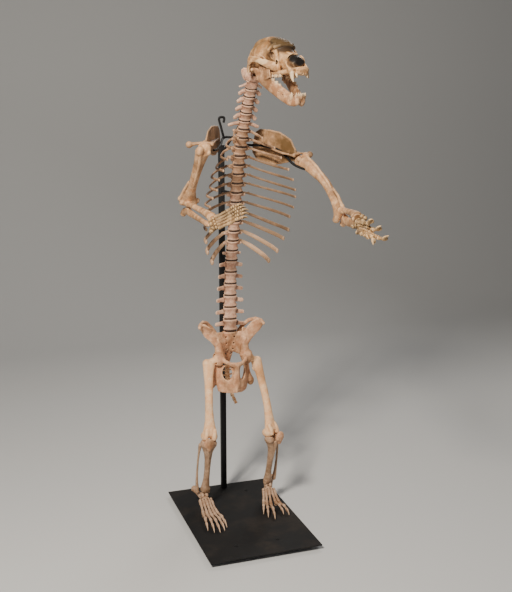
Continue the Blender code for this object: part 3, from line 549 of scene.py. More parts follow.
# %% Mix the finishes
OCHRE = (0.25, 0.11, 0.038)
OLIVE = (0.115, 0.062, 0.018)
chest_bone = bone_finish("chest_bone", (0.259, 0.139, 0.078), (0.602, 0.381, 0.233), (0.098, 0.053, 0.028),
                         stained=0.62,
                         zones=(((0.05, 0.05, 1.5), (0.34, 0.34, 0.145), (0.72, 0.47, 0.29), 0.55),
                                # Painted shade over the bear's left ribs
                                ((0.22, 0.06, 1.78), (0.17, 0.3, 0.25), (0.15, 0.092, 0.052), 0.62)))
spine_bone = bone_finish("spine_bone", (0.481, 0.249, 0.162), (0.871, 0.58, 0.406), (0.166, 0.079, 0.041),
                         stained=0.52,
                         zones=(((0.03, 0.07, 1.98), (0.12, 0.2, 0.2), (0.26, 0.14, 0.058), 0.55),))
arm_bone = bone_finish("arm_bone", (0.517, 0.265, 0.125), (0.911, 0.605, 0.353), (0.162, 0.08, 0.033),
                       stained=0.58)
hand_bone = bone_finish("hand_bone", (0.3, 0.155, 0.055), (0.95, 0.66, 0.36), (0.075, 0.04, 0.013),
                        stained=0.74)
blade_bone = bone_finish("blade_bone", (0.344, 0.192, 0.096), (0.641, 0.392, 0.224), OLIVE, stained=0.68)
leg_bone = bone_finish("leg_bone", (0.914, 0.505, 0.25), (1.0, 0.745, 0.49), (0.463, 0.205, 0.07), stained=0.3)
shin_bone = bone_finish("shin_bone", (0.371, 0.22, 0.134), (0.652, 0.443, 0.292), OLIVE, stained=0.58)
foot_bone = bone_finish("foot_bone", (0.372, 0.225, 0.142), (0.767, 0.544, 0.386), OCHRE, stained=0.58)
hip_bone = bone_finish("hip_bone", (0.58, 0.28, 0.15), (0.92, 0.59, 0.36), (0.19, 0.09, 0.035), stained=0.52)
jaw_bone = bone_finish("jaw_bone", (0.38, 0.18, 0.086), (0.84, 0.53, 0.31), (0.13, 0.062, 0.024), stained=0.62)
tooth_ivory = bone_finish("tooth_ivory", (0.66, 0.44, 0.25), (0.86, 0.68, 0.46), (0.34, 0.17, 0.06),
                          stained=0.35, rough=0.4)
disc_dark = bone_finish("disc_dark", (0.026, 0.013, 0.009), (0.06, 0.032, 0.022), (0.016, 0.008, 0.005),
                        stained=0.5, hollow_dirt_and_shade=(0.01, 0.005, 0.004), rough=0.66)
black_steel = steel_finish("black_steel", (0.01, 0.01, 0.011), (0.1, 0.08, 0.065), dusty=0.06)
plate_steel = steel_finish("plate_steel", (0.01, 0.01, 0.011), (0.14, 0.105, 0.08), dusty=0.22)
print("finishes", len(bpy.data.materials))

# %% [markdown]
# ## The line of the back
# Every vertebra is threaded on one curve, from the top of the sacrum to the back of the skull: hollow
# at the loin, rounded over the chest and leaning forward at the neck. The curve is read by the distance
# along it, so that vertebrae of real lengths can be stacked with their discs.

# %% The backbone's curve and joints
LUMBARS, THORACICS, CERVICALS = 6, 14, 6
LUMBAR_PITCH, CERVICAL_PITCH = 66.5, 44
CHEST_PITCH_LOW, CHEST_PITCH_HIGH = 58.5, 46.5
BACK_LINE = ((0.024, 0.236, 1.036), (0.027, 0.244, 1.24), (0.031, 0.232, 1.431), (0.032, 0.18, 1.64),
             (0.029, 0.118, 1.863), (0.029, 0.066, 2.03), (0.035, 0.031, 2.138), (0.042, -0.03, 2.268),
             (0.046, -0.094, 2.378), (0.046, -0.122, 2.424))


def smooth_line(points, steps):
    """Points of a smooth curve through the given ones, `steps` to each stretch."""
    points = [Vector(point) for point in points]
    ends = [points[0] * 2 - points[1]] + points + [points[-1] * 2 - points[-2]]
    line = []
    for before, start, end, after in zip(ends, ends[1:], ends[2:], ends[3:]):
        for step in range(steps):
            t = step / steps
            line.append(0.5 * (2 * start + (end - before) * t + (2 * before - 5 * start + 4 * end - after) * t * t
                               + (3 * start - before - 3 * end + after) * t ** 3))
    line.append(points[-1])
    return line


def point_at(line, distance):
    """The point of a line at a distance from its start."""
    for start, end in zip(line, line[1:]):
        step = (end - start).length
        if distance <= step:
            return start.lerp(end, distance / step)
        distance -= step
    return line[-1]


back_line = smooth_line(BACK_LINE, 24)
pitches = [LUMBAR_PITCH] * LUMBARS
pitches += [CHEST_PITCH_LOW + (CHEST_PITCH_HIGH - CHEST_PITCH_LOW) * index / (THORACICS - 1)
            for index in range(THORACICS)]
pitches += [CERVICAL_PITCH] * CERVICALS
joint_points = [point_at(back_line, sum(pitches[:index]) / 1000) for index in range(len(pitches) + 1)]
NECK_START = LUMBARS + THORACICS
print("joints of the backbone", len(joint_points), "length", round(sum(pitches)), "mm")


def joint_axes(index):
    """A vertebra's frame: z up the spine, y towards the belly."""
    return axes(joint_points[index], joint_points[index + 1], (0, -1, 0))


# %% [markdown]
# ## One vertebra of each kind
# A vertebra is a waisted drum, the body, with an arch behind it that bridges the spinal cord, a
# process that points back, and a wing to each side. Neck vertebrae are low with drooping wings, chest
# vertebrae carry tall back processes, and loin vertebrae have wide flat wings. Each kind is built once
# at its real size and melted. Then it is copied up the line, which keeps the kin alike, as they are in life.

# %% Build a vertebra
def vertebra(name, height, half_width, half_depth, wing, process, notch=5.2, fine=0.0025):
    """wing: (reach, drop, half height, half thickness); process: (length, drop, half height, half thickness)."""
    piece = open_piece(name)
    loft(MM, (
        (0, 0, notch, half_width * 0.97, half_depth * 0.97),
        (0, 0, notch + height * 0.1, half_width, half_depth),
        (0, 0, height * 0.34, half_width * 0.8, half_depth * 0.84),
        (0, 0, height * 0.62, half_width * 0.8, half_depth * 0.84),
        (0, 0, height * 0.9 - notch, half_width, half_depth),
        (0, 0, height - notch, half_width * 0.97, half_depth * 0.97)), sides=24, dome=0.05)
    back = -half_depth
    reach, drop, tall, thick = wing
    length, fall, high, broad = process
    for side in (-1, 1):
        # Pedicle and roof of the arch
        loft(MM, (
            (side * half_width * 0.62, back * 0.75, height * 0.62, 8.5, height * 0.2),
            (side * 17.5, back - 10, height * 0.62, 6, height * 0.22),
            (side * 8, back - 21, height * 0.55, 6.5, height * 0.3),
            (0, back - 25, height * 0.5, 6.5, height * 0.3)), across=(side, 1, 0))
        # Wing
        loft(MM, (
            (side * half_width * 0.55, back * 0.62, height * 0.58, tall * 1.25, thick * 1.6),
            (side * (half_width * 0.6 + reach * 0.4), back * 0.45, height * 0.56 - drop * 0.35,
             tall * 0.92, thick * 1.2),
            (side * reach * 0.86, back * 0.35, height * 0.54 - drop * 0.85, tall, thick),
            (side * reach, back * 0.3, height * 0.54 - drop, tall * 0.84, thick * 0.9)), across=ALONG)
        # Joint faces towards the vertebrae above and below
        loft(MM, (
            (side * 16.5, back - 12, height * 0.66, 6.2, 5.2),
            (side * 18.5, back - 11, height * 0.96, 7.2, 4.6)))
        loft(MM, (
            (side * 13, back - 21, height * 0.44, 6, 5), (side * 15, back - 20.5, height * 0.08, 6.4, 4.4)))
    loft(MM, (
        (0, back - 20, height * 0.52, high * 1.25, broad * 1.3),
        (0, back - 20 - length * 0.45, height * 0.5 - fall * 0.45, high, broad),
        (0, back - 20 - length * 0.88, height * 0.48 - fall * 0.9, high * 0.9, broad),
        (0, back - 20 - length, height * 0.48 - fall, high * 0.8, broad * 1.5)), across=ALONG)
    melt(piece, cell=fine, rounds=3)
    return piece


# %% [markdown]
# ## The loin
# Six vertebrae, each nearly seven centimetres tall with its disc. Their wings are flat straps that grow
# longer down to the hips, so the pattern is stretched sideways a little more for each lower one.

# %% Thread the loin
def thread(pattern, indexes, stretches):
    """Copies of a pattern vertebra on the back line, each stretched to its place, joined in one piece."""
    pattern_name = pattern.name
    copies = []
    for index, scales in zip(indexes, stretches):
        copy = pattern.copy()
        copy.data = pattern.data.copy()
        bpy.context.scene.collection.objects.link(copy)
        copy.data.transform(joint_axes(index) @ Matrix.Diagonal((*scales, 1.0)))
        copies.append(copy)
    bpy.data.objects.remove(pattern)
    return join(copies, pattern_name)


def join(pieces, name):
    """Join several objects into the first one, and name it."""
    pick(*pieces)
    if len(pieces) > 1:
        bpy.ops.object.join()
    pieces[0].name = pieces[0].data.name = name
    return pieces[0]


loin_pattern = vertebra("loin_pattern", LUMBAR_PITCH, half_width=33.5, half_depth=24,
                        wing=(66, 2, 12.5, 4.6), process=(46, 2, 20, 4.2))
loin = join([thread(loin_pattern, range(LUMBARS), [(1.27 - 0.056 * index, 1, 1) for index in range(LUMBARS)])],
            "loin_vertebrae")
weather(loin, height=0.0014, size=0.03)
finish_piece(loin, spine_bone, "spine_bone", "lumbar_spine")

# %% [markdown]
# ## The chest's backbone
# Fourteen vertebrae, smaller and closer towards the neck, with processes that grow longer and lean
# down the back towards the shoulders. Three patterns, for the low, middle and high chest, keep the
# change gradual.

# %% Thread the chest
chest_parts = []
for name, first, last, length, fall, width in (("low", 0, 5, 38, 10, 34.5), ("mid", 5, 10, 58, 26, 34),
                                               ("high", 10, 14, 78, 40, 34)):
    pitch = pitches[LUMBARS + (first + last) // 2]
    pattern = vertebra("chest_pattern_" + name, pitch, half_width=width, half_depth=22.5,
                       wing=(50, -6, 8.5, 6), process=(length, fall, 13.5, 4.4))
    chest_parts.append(thread(pattern, range(LUMBARS + first, LUMBARS + last),
                              [(1, 1, pitches[LUMBARS + index] / pitch) for index in range(first, last)]))
chest_spine = join(chest_parts, "chest_vertebrae")
weather(chest_spine, height=0.0012, size=0.03)
finish_piece(chest_spine, spine_bone, "spine_bone")

# %% [markdown]
# ## The neck
# Five like vertebrae with short drooping wings sit between the chest and the two special ones: the
# axis, with its long low crest and its peg, and the atlas, a ring with two broad wings that carries the
# skull. The lowest one has longer, level wings. Axis and atlas are laid in place, because a stretched copy
# of the pattern would have the wrong parts.

# %% Thread the neck
neck_pattern = vertebra("neck_pattern", CERVICAL_PITCH, half_width=31, half_depth=19,
                        wing=(58, 15, 12, 8), process=(22, 4, 9.5, 4.2), notch=4, fine=0.0021)
lowest_pattern = vertebra("lowest_neck", CERVICAL_PITCH, half_width=30, half_depth=20,
                          wing=(80, 12, 9.5, 7), process=(42, 10, 10.5, 4.4), notch=4, fine=0.0021)
neck_parts = [thread(neck_pattern, range(NECK_START + 1, NECK_START + 5),
                     [(width, 1, 1) for width in (1, 0.97, 0.96, 0.97)]),
              thread(lowest_pattern, [NECK_START], [(1, 1, 1)])]

axis_bone = open_piece("axis_bone")
axis_frame = joint_axes(NECK_START + 5) @ MM
loft(axis_frame, (
    (0, 0, 3, 30, 19), (0, 0, 12, 29, 19), (0, 1, 26, 26, 17), (0, 0, 40, 37, 17)), sides=20, dome=0.1)
loft(axis_frame, ((0, -2, 38, 10, 10), (0, -2, 56, 8, 8)))
for side, flank in flanks(axis_frame):
    loft(flank, ((20, -14, 26, 8, 12), (14, -30, 26, 6, 14), (0, -38, 26, 6, 16)), across=(1, 1, 0))
    loft(flank, ((22, -6, 20, 9, 8), (44, -10, 6, 6, 6), (58, -14, -2, 5, 5)), across=ALONG)
loft(axis_frame, (
    (0, -38, 0, 12, 5), (0, -52, 18, 16, 5), (0, -50, 44, 14, 5), (0, -42, 66, 8, 5)), across=AHEAD)
melt(axis_bone, cell=0.002, rounds=3)

SKULL_BASE = Vector((0.046, -0.122, 2.428))
atlas = open_piece("atlas_bone")
atlas_frame = axes(joint_points[-1], SKULL_BASE, (0, -1, 0)) @ MM
for side, flank in flanks(atlas_frame):
    loft(flank, (
        (0, 20, 12, 15, 7), (20, 14, 14, 18, 10), (32, -4, 18, 22, 13), (22, -26, 14, 16, 9),
        (0, -34, 12, 13, 7)), across=ALONG)
    loft(flank, (
        (24, -6, 20, 30, 11), (35, -12, 23, 35, 8.5), (44, -16, 22, 35, 7), (52, -20, 18, 27, 5.5)
    ), across=ALONG, sides=18)
    lump(flank, (20, 0, 34), (14, 15, 10))
melt(atlas, cell=0.002, rounds=3)
neck = join(neck_parts + [axis_bone, atlas], "neck_vertebrae")
weather(neck, height=0.0014, size=0.026)
finish_piece(neck, spine_bone, "spine_bone", "neck")

# %% [markdown]
# ## Discs
# Between the bodies sit thin dark pads that stand for the cartilage. They are what gives a mounted
# backbone its ladder look. A slice cut from the bones would fit as closely, but a short drum with a
# rounded rim is enough for what shows of it.

# %% Lay the discs
discs = open_piece("spine_discs")
for index in range(len(pitches) + 1):
    here = joint_axes(min(index, len(pitches) - 1))
    here.translation = joint_points[index]
    wide, deep = (38.5, 23) if index <= LUMBARS else (33, 19) if index > NECK_START else (36.5, 23)
    loft(here @ MM, [(0, 0, height, wide * share, deep * share)
                     for height, share in ((-6.2, 0.86), (0, 0.93), (6.2, 0.86))], sides=32, dome=0.02)
close_shapes()
finish_piece(discs, disc_dark, "spine_bone")

# %% [markdown]
# ## Ribs
# Thirteen on each side, and no breastbone: the ribs end freely, as their gristle is lost. A rib leaves
# the spine with a ball and a small knuckle, bends back, and sweeps round the flank as a flat strap. Its
# line is set by how far it reaches to the side, how far forward it comes and how much it drops. A bevelled
# curve would have one width all along, but a loft can grow wider and flatter towards the end.

# %% Bend the ribs
RIB_REACH = {
    "right": (63, 103, 130, 152, 176, 181, 191, 193, 190, 186, 178, 162, 129),
    "left": (72, 118, 146, 181, 206, 221, 228, 224, 214, 212, 206, 190, 161)}
RIB_DEPTH = {
    "right": (95, 135, 160, 176, 192, 183, 153, 120, 105, 90, 70, 52, 40),
    "left": (105, 190, 235, 270, 290, 300, 300, 295, 280, 245, 200, 165, 130)}
RIB_DROP = {
    "right": (50, 55, 64, 72, 70, 75, 69, 66, 66, 86, 103, 111, 116),
    "left": (50, 52, 55, 66, 70, 73, 60, 64, 63, 84, 83, 101, 105)}
RIB_COUNT = 13
SIDE_SIGN = {"right": -1.0, "left": 1.0}
FLOATING = 10


def rib(number, side_name):
    """One rib, from its head on the spine to its free end."""
    head = joint_points[NECK_START - number + 1]
    side = SIDE_SIGN[side_name]
    reach, depth, drop = (table[side_name][number - 1] / 1000 for table in (RIB_REACH, RIB_DEPTH, RIB_DROP))
    tuck = 0.93 if number < FLOATING else 1.0
    straight = min(1.0, 0.25 * number)
    if side_name == "left" and number > FLOATING:
        straight -= 0.17 * (number - FLOATING)
    plan = ((0.026, 0.002, 0.0), (0.34 * reach, -0.026, 0.02 + 0.17 * straight),
            (0.66 * reach, -0.018, 0.26 + 0.26 * straight), (0.93 * reach, 0.26 * depth, 0.62 + 0.22 * straight),
            (0.5 * (1.0 + tuck) * reach, 0.6 * depth, 0.82 + 0.12 * straight), (tuck * reach, depth, 1.0))
    line = smooth_line([head + Vector((side * aside, -ahead, -drop * fall)) for aside, ahead, fall in plan], 4)
    stations = []
    for index, point in enumerate(line):
        share = index / (len(line) - 1)
        half = 0.0049 + 0.0022 * sin(pi * min(share * 0.62 + 0.08, 1.0)) + 0.001 * max(0.0, share - 0.9) * 10
        half += 0.0072 * min(1.0, share * 2.2) * max(0, number - 8) / 5
        stations.append((*point, half, half * (0.7 - 0.12 * share)))
    loft(WORLD, stations, across=ALONG, sides=12)
    lump(WORLD, line[0], (0.0085, 0.008, 0.0085), fine=2)
    lump(WORLD, line[4] + Vector((0, 0.004, 0.003)), (0.0075, 0.007, 0.0075), fine=2)


for side_name in SIDE_SIGN:
    ribs = open_piece("ribs_" + side_name)
    for number in range(1, RIB_COUNT + 1):
        rib(number, side_name)
    melt(ribs, cell=0.0021, rounds=3)
    weather(ribs, height=0.0014, size=0.045)
    finish_piece(ribs, chest_bone, "rib_bone", "ribcage_" + side_name)

# %% [markdown]
# ## The pelvis
# The pelvis is a ring: the sacrum behind, two blades that flare up and outwards, the hip sockets
# at the sides, and a low bridge in front that is pierced by two windows. It is laid as straps and lumps,
# melted, and then the sockets, the windows and the nerve holes of the sacrum are hollowed out. The blades
# could be sculpted, but a few straps side by side follow their curve, and both sides stay alike.

# %% Build the pelvis
PELVIS_MIDDLE = 19
HIP = {"right": (-0.066, 0.178, 0.895), "left": (0.114, 0.178, 0.887)}
pelvis = open_piece("pelvis_bone")
hips = Matrix.Translation((PELVIS_MIDDLE / 1000, 0, 0)) @ MM
loft(hips, (
    (0, 238, 1030, 40, 23), (0, 243, 1000, 44, 23), (0, 250, 965, 42, 19), (0, 262, 925, 35, 16),
    (0, 278, 880, 26, 13), (0, 294, 835, 17, 10)), sides=20, dome=0.1)
for height, behind in ((1010, 288), (975, 292), (940, 300), (900, 306)):
    loft(hips, ((0, behind - 30, height, 6, 16), (0, behind, height - 4, 5, 14)))
for side, flank in flanks(hips):
    loft(flank, ((26, 244, 990, 40, 19), (50, 234, 986, 42, 15), (78, 222, 978, 44, 14)), across=ALONG)
    loft(flank, (
        (74, 182, 900, 34, 32), (75, 192, 930, 25, 24), (78, 202, 962, 22, 17), (96, 213, 1000, 31, 12),
        (122, 216, 1032, 36, 8.5), (148, 213, 1058, 37, 8), (172, 205, 1084, 27, 8.5)
    ), across=(side, 0, -0.8), sides=16)
    loft(flank, (
        (76, 210, 975, 18, 12), (98, 238, 1006, 34, 7.5), (110, 252, 1030, 40, 7)), across=(side, 0, -0.8))
    loft(flank, (
        (186, 190, 1070, 10, 11), (176, 206, 1086, 10, 12), (154, 236, 1092, 9, 11), (124, 266, 1080, 10, 11),
        (94, 288, 1048, 12, 11), (70, 292, 1012, 14, 12)))
    lump(flank, (82, 178, 895), (35, 41, 43))
    loft(flank, (
        (74, 160, 898, 19, 15), (58, 134, 886, 13, 10), (34, 114, 874, 12, 9), (4, 106, 868, 16, 10)
    ), across=ALONG)
    loft(flank, (
        (78, 194, 880, 20, 20), (86, 205, 840, 15.5, 16.5), (94, 209, 795, 16.5, 16), (104, 210, 748, 27, 21)
    ))
    loft(flank, (
        (3.5, 106, 872, 10, 10), (4, 108, 820, 12, 11), (6, 116, 760, 15, 11), (10, 126, 722, 14, 10)))
    # Sheet of the pubis and seat bone, from the seam in the middle to the seat knob
    loft(flank, (
        (2, 112, 786, 78, 9), (22, 128, 783, 80, 8.5), (46, 148, 780, 81, 8.5), (66, 172, 778, 79, 10),
        (84, 196, 776, 76, 12)), across=ALONG, sides=28)
    # Web between the sacrum and the blade
    loft(flank, (
        (14, 246, 972, 58, 15), (44, 230, 962, 60, 13), (70, 206, 948, 56, 15)), across=ALONG, sides=20)
    loft(flank, (
        (46, 226, 998, 34, 12), (78, 214, 998, 36, 12), (102, 213, 1004, 34, 10)), across=ALONG, sides=18)
    lump(flank, (114, 212, 742), (21, 19, 27))
melt(pelvis, cell=0.0027, rounds=4)
hollows = open_piece("pelvis_hollows")
for side_name, side in (("right", -1), ("left", 1)):
    lump(WORLD, Vector(HIP[side_name]) + Vector((side * 0.012, -0.004, 0.0)), (0.03, 0.03, 0.03))
    lump(hips, (side * 43, 146, 816), (24.5, 60, 41))
    for height, aside, behind in ((1000, 24, 240), (963, 22, 250), (928, 19, 262), (896, 15, 272)):
        lump(hips, (side * aside, behind, height), (5.8, 45, 6.2), fine=2)
hollow_out(pelvis, hollows, cell=0.0027, rounds=3)
weather(pelvis, height=0.0024, size=0.05)
finish_piece(pelvis, hip_bone, "pelvis_bone", "pelvis")

# %% [markdown]
# ## The tail
# A bear's tail is a stub. Its bones are spools, each smaller than the one before, hung in a line. One
# loop lays them all, because only their size and place change.

# %% String the tail
TAIL_LINE = ((0.024, 0.3, 0.826), (0.026, 0.306, 0.76), (0.034, 0.296, 0.69), (0.052, 0.284, 0.632),
             (0.07, 0.276, 0.592))
TAIL_BONES, TAIL_WINGED = 9, 4
TAIL_GAP = 0.0001
tail_line = smooth_line(TAIL_LINE, 12)
tail_length = sum((end - start).length for start, end in zip(tail_line, tail_line[1:]))
tail = open_piece("tail_vertebrae")
for index in range(TAIL_BONES):
    start = point_at(tail_line, tail_length * index / TAIL_BONES)
    end = point_at(tail_line, tail_length * (index + 1) / TAIL_BONES - TAIL_GAP)
    bone, length = span(start, end, (0, -1, 0))
    half = 16.5 - 0.6 * index
    loft(bone, (
        (0, 0, 2.2, half, half), (0, 0, length * 0.25, half * 0.8, half * 0.8),
        (0, 0, length * 0.5, half * 0.66, half * 0.66), (0, 0, length * 0.75, half * 0.8, half * 0.8),
        (0, 0, length - 2.2, half, half)), sides=16, dome=0.1)
    if index < TAIL_WINGED:
        for side in (-1, 1):
            loft(bone, (
                (side * half * 0.5, 0, length * 0.5, length * 0.2, 3.5),
                (side * half * 1.9, 0, length * 0.42, length * 0.16, 3)), across=ALONG)
melt(tail, cell=0.0018, rounds=3)
finish_piece(tail, leg_bone, "spine_bone", "tail")

# %% [markdown]
# ## Thigh bones
# The ball sits on a short neck that leans in from the shaft. Beside it rises the great trochanter,
# where the rump muscles pulled. The shaft is a plain, slightly bowed column, and the knee end is a pair
# of rolling condyles with a groove in front for the kneecap and a notch behind. Cylinder and balls alone
# would look like a toy, so one loft carries the whole shaft and flows out into both ends.

# %% Build the thigh bones
KNEE = {"right": (-0.15, 0.085, 0.458), "left": (0.214, 0.065, 0.455)}
KNEE_FRONT = {"right": (-0.12, -1.0, 0.0), "left": (0.55, -1.0, 0.0)}
for side in SIDE_SIGN:
    thigh, length = span(HIP[side], KNEE[side], KNEE_FRONT[side], side)
    femur = open_piece("femur_" + side + "_bone")
    lump(thigh, (0, 0, 0), (27.5, 27.5, 27.5))
    loft(thigh, (
        (4, 0, 4, 19.5, 17.5), (22, -2, 14, 18, 18), (38, -4, 26, 20, 22), (52, -4, 36, 22, 25)
    ), across=AHEAD, sides=18)
    loft(thigh, ((30, -4, 20, 18, 17), (38, -3, 46, 26, 18), (42, -2, 74, 24, 18)), sides=18)
    lump(thigh, (61, -6, 34), (21.5, 26, 25.5))
    loft(thigh, ((60, -16, 30, 10, 8), (50, -22, 70, 7, 7)))
    lump(thigh, (26, -16, 70), (11, 10, 16), fine=2)
    loft(thigh, (
        (50, -2, 30, 34, 23), (47, 0, 60, 31, 21.5), (43, 2, 100, 27, 20.5), (36, 5, length * 0.34, 23.2, 20),
        (29, 8, length * 0.48, 21.8, 19.8), (21, 8, length * 0.62, 22.2, 19.8),
        (12, 6, length * 0.74, 25.5, 20.8), (5, 3, length * 0.84, 33, 24.5), (1, 1, length * 0.92, 42.5, 28.5)
    ), sides=20)
    for out in (-24.5, 24.5):
        lump(thigh, (out, -10, length - 26), (21.5, 34, 26.5))
        loft(thigh, (
            (out * 0.84, 20, length - 66, 11.5, 10), (out * 0.88, 24, length - 40, 13, 12),
            (out * 0.92, 19, length - 14, 14, 14)))
    melt(femur, cell=0.0024, rounds=6)
    notch = open_piece("knee_notch")
    loft(thigh, ((0, -52, length - 6, 8.5, 20), (0, -10, length + 4, 6.5, 12)))
    loft(thigh, ((0, 44, length - 70, 12, 8.5), (0, 47, length - 40, 13, 9), (0, 38, length - 6, 10, 9)))
    hollow_out(femur, notch, cell=0.0024)
    weather(femur, height=0.0016, size=0.05)
    finish_piece(femur, leg_bone, "leg_bone", "femur_" + side)

# %% [markdown]
# ## Shins, calves and kneecaps
# The shin bone is a broad plateau on a three-sided shaft with a sharp front edge, and ends in a knob
# inside the ankle. The calf bone is a thin rod beside it with a swelling at each end. The kneecap is
# a flattened pebble that hangs in front of the joint. A tapered cylinder would miss the sharp edge of the
# shin, so that edge is a thin loft of its own on the shaft.

# %% Build the shins, calves and kneecaps
ANKLE = {"right": (-0.16, 0.165, 0.135), "left": (0.217, 0.15, 0.15)}
CALF_SHIFT = {"right": (0, 0), "left": (9, 11)}
for side in SIDE_SIGN:
    shin, length = span(KNEE[side], ANKLE[side], KNEE_FRONT[side], side)
    tibia = open_piece("tibia_" + side + "_bone")
    for out in (-22.5, 22.5):
        loft(shin, (
            (out, -4, 10, 24, 28), (out * 0.95, -4, 20, 25, 30), (out * 0.7, -2, 40, 20, 24),
            (out * 0.3, 2, 80, 14, 18)), sides=18)
    lump(shin, (0, -6, 8), (8, 11, 8), fine=2)
    loft(shin, (
        (0, 2, 30, 36, 25), (-1, 4, 70, 24.5, 23.5), (-3, 5, length * 0.36, 18.5, 20.5),
        (-5, 4, length * 0.56, 16.5, 17.5), (-6, 2, length * 0.74, 17.5, 16.5),
        (-5, 1, length * 0.87, 22.5, 19), (-5, 0, length * 0.95, 27.5, 21.5), (-6, 0, length - 6, 27.5, 20.5)
    ), sides=18)
    loft(shin, (
        (0, 26, 26, 14, 9), (0, 28, 52, 12, 10), (-1, 24, 90, 6, 7.5), (-3, 21, length * 0.42, 4.5, 5)))
    loft(shin, ((-24, 2, length - 22, 10, 14), (-26, 1, length + 4, 8, 11.5)))
    melt(tibia, cell=0.0024, rounds=5)
    weather(tibia, height=0.0015, size=0.045)
    finish_piece(tibia, shin_bone, "leg_bone", "tibia_" + side)

    fibula = open_piece("fibula_" + side + "_bone")
    stations = (
        (43, -17, 32, 10.5, 12), (45, -16, 52, 9.5, 10.5), (47, -14, 80, 6.2, 7),
        (49, -11, length * 0.4, 5.4, 6.6), (48, -9, length * 0.62, 5.8, 7.2),
        (45, -7, length * 0.82, 7.8, 9.2), (40, -5, length * 0.93, 9.8, 12), (36, -4, length + 4, 10, 13))
    aside, forward = CALF_SHIFT[side]
    loft(shin, [(x + aside, y + forward, z, wide, deep) for x, y, z, wide, deep in stations], sides=14)
    melt(fibula, cell=0.002, rounds=3)
    finish_piece(fibula, shin_bone, "leg_bone", "fibula_" + side)

    patella = open_piece("patella_" + side + "_bone")
    lump(shin, (6, 46, -12), (29, 18.5, 33))
    loft(shin, ((6, 50, 0, 20, 14), (5, 48, 28, 10, 10)))
    melt(patella, cell=0.0021, rounds=3)
    weather(patella, height=0.002, size=0.018)
    finish_piece(patella, hip_bone, "leg_bone", "patella_" + side)

# %% [markdown]
# ## Toes, fingers and claws
# A finger is a row of spools, wide at both ends and slim between, and its last bone is a curved claw
# core, deep and thin like a blade, with a hood round its root. A sculpted bone could be copied, but one
# recipe that works from two knuckles fits every stretch of toes and fingers.

# %% A digit
def spool(start, end, half, front, gap=1.2):
    """One small bone between two knuckles: a hollowed base, a slim waist and a rounded head."""
    bone, length = span(start, end, front)
    loft(bone, (
        (0, 0, gap, half * 1.02, half * 0.98), (0, 0, length * 0.14, half * 0.98, half * 0.92),
        (0, -half * 0.05, length * 0.36, half * 0.68, half * 0.62),
        (0, -half * 0.05, length * 0.62, half * 0.62, half * 0.58),
        (0, 0, length * 0.84, half * 0.82, half * 0.78),
        (0, 0, length - gap - half * 0.25, half * 0.84, half * 0.8)), sides=14, dome=0.35)


def claw(start, end, half, front):
    """A claw core: a deep, narrow blade that curves down from its hooded root to a point."""
    bone, length = span(start, end, front)
    loft(bone, (
        (0, 0, 2, half * 0.95, half * 1.15), (0, half * 0.25, length * 0.16, half * 0.8, half * 1.25),
        (0, half * 0.55, length * 0.38, half * 0.55, half * 0.95),
        (0, half * 0.55, length * 0.62, half * 0.42, half * 0.68),
        (0, half * 0.28, length * 0.84, half * 0.26, half * 0.38), (0, 0, length, half * 0.11, half * 0.14)
    ), sides=14, dome=0.3)
    lump(bone, (0, -half * 0.55, length * 0.12), (half * 0.7, half * 0.6, half * 0.7), fine=2)


def digit(points, halves, front):
    """Spools between the points, and a claw for the last stretch."""
    for (start, end), half in zip(list(zip(points, points[1:]))[:-1], halves):
        spool(start, end, half, front)
    claw(points[-2], points[-1], halves[-1], front)


# %% [markdown]
# ## Feet
# A bear walks on its soles, but this one stands with its heels a little raised. Behind the ankle juts
# the heel bone. In front, a broad block and a row of five small ones lead to the five long foot bones and
# the toes. Their places are worked out from the ankle and the tips of the claws, so that the toes fan out
# evenly and stand on the plate.

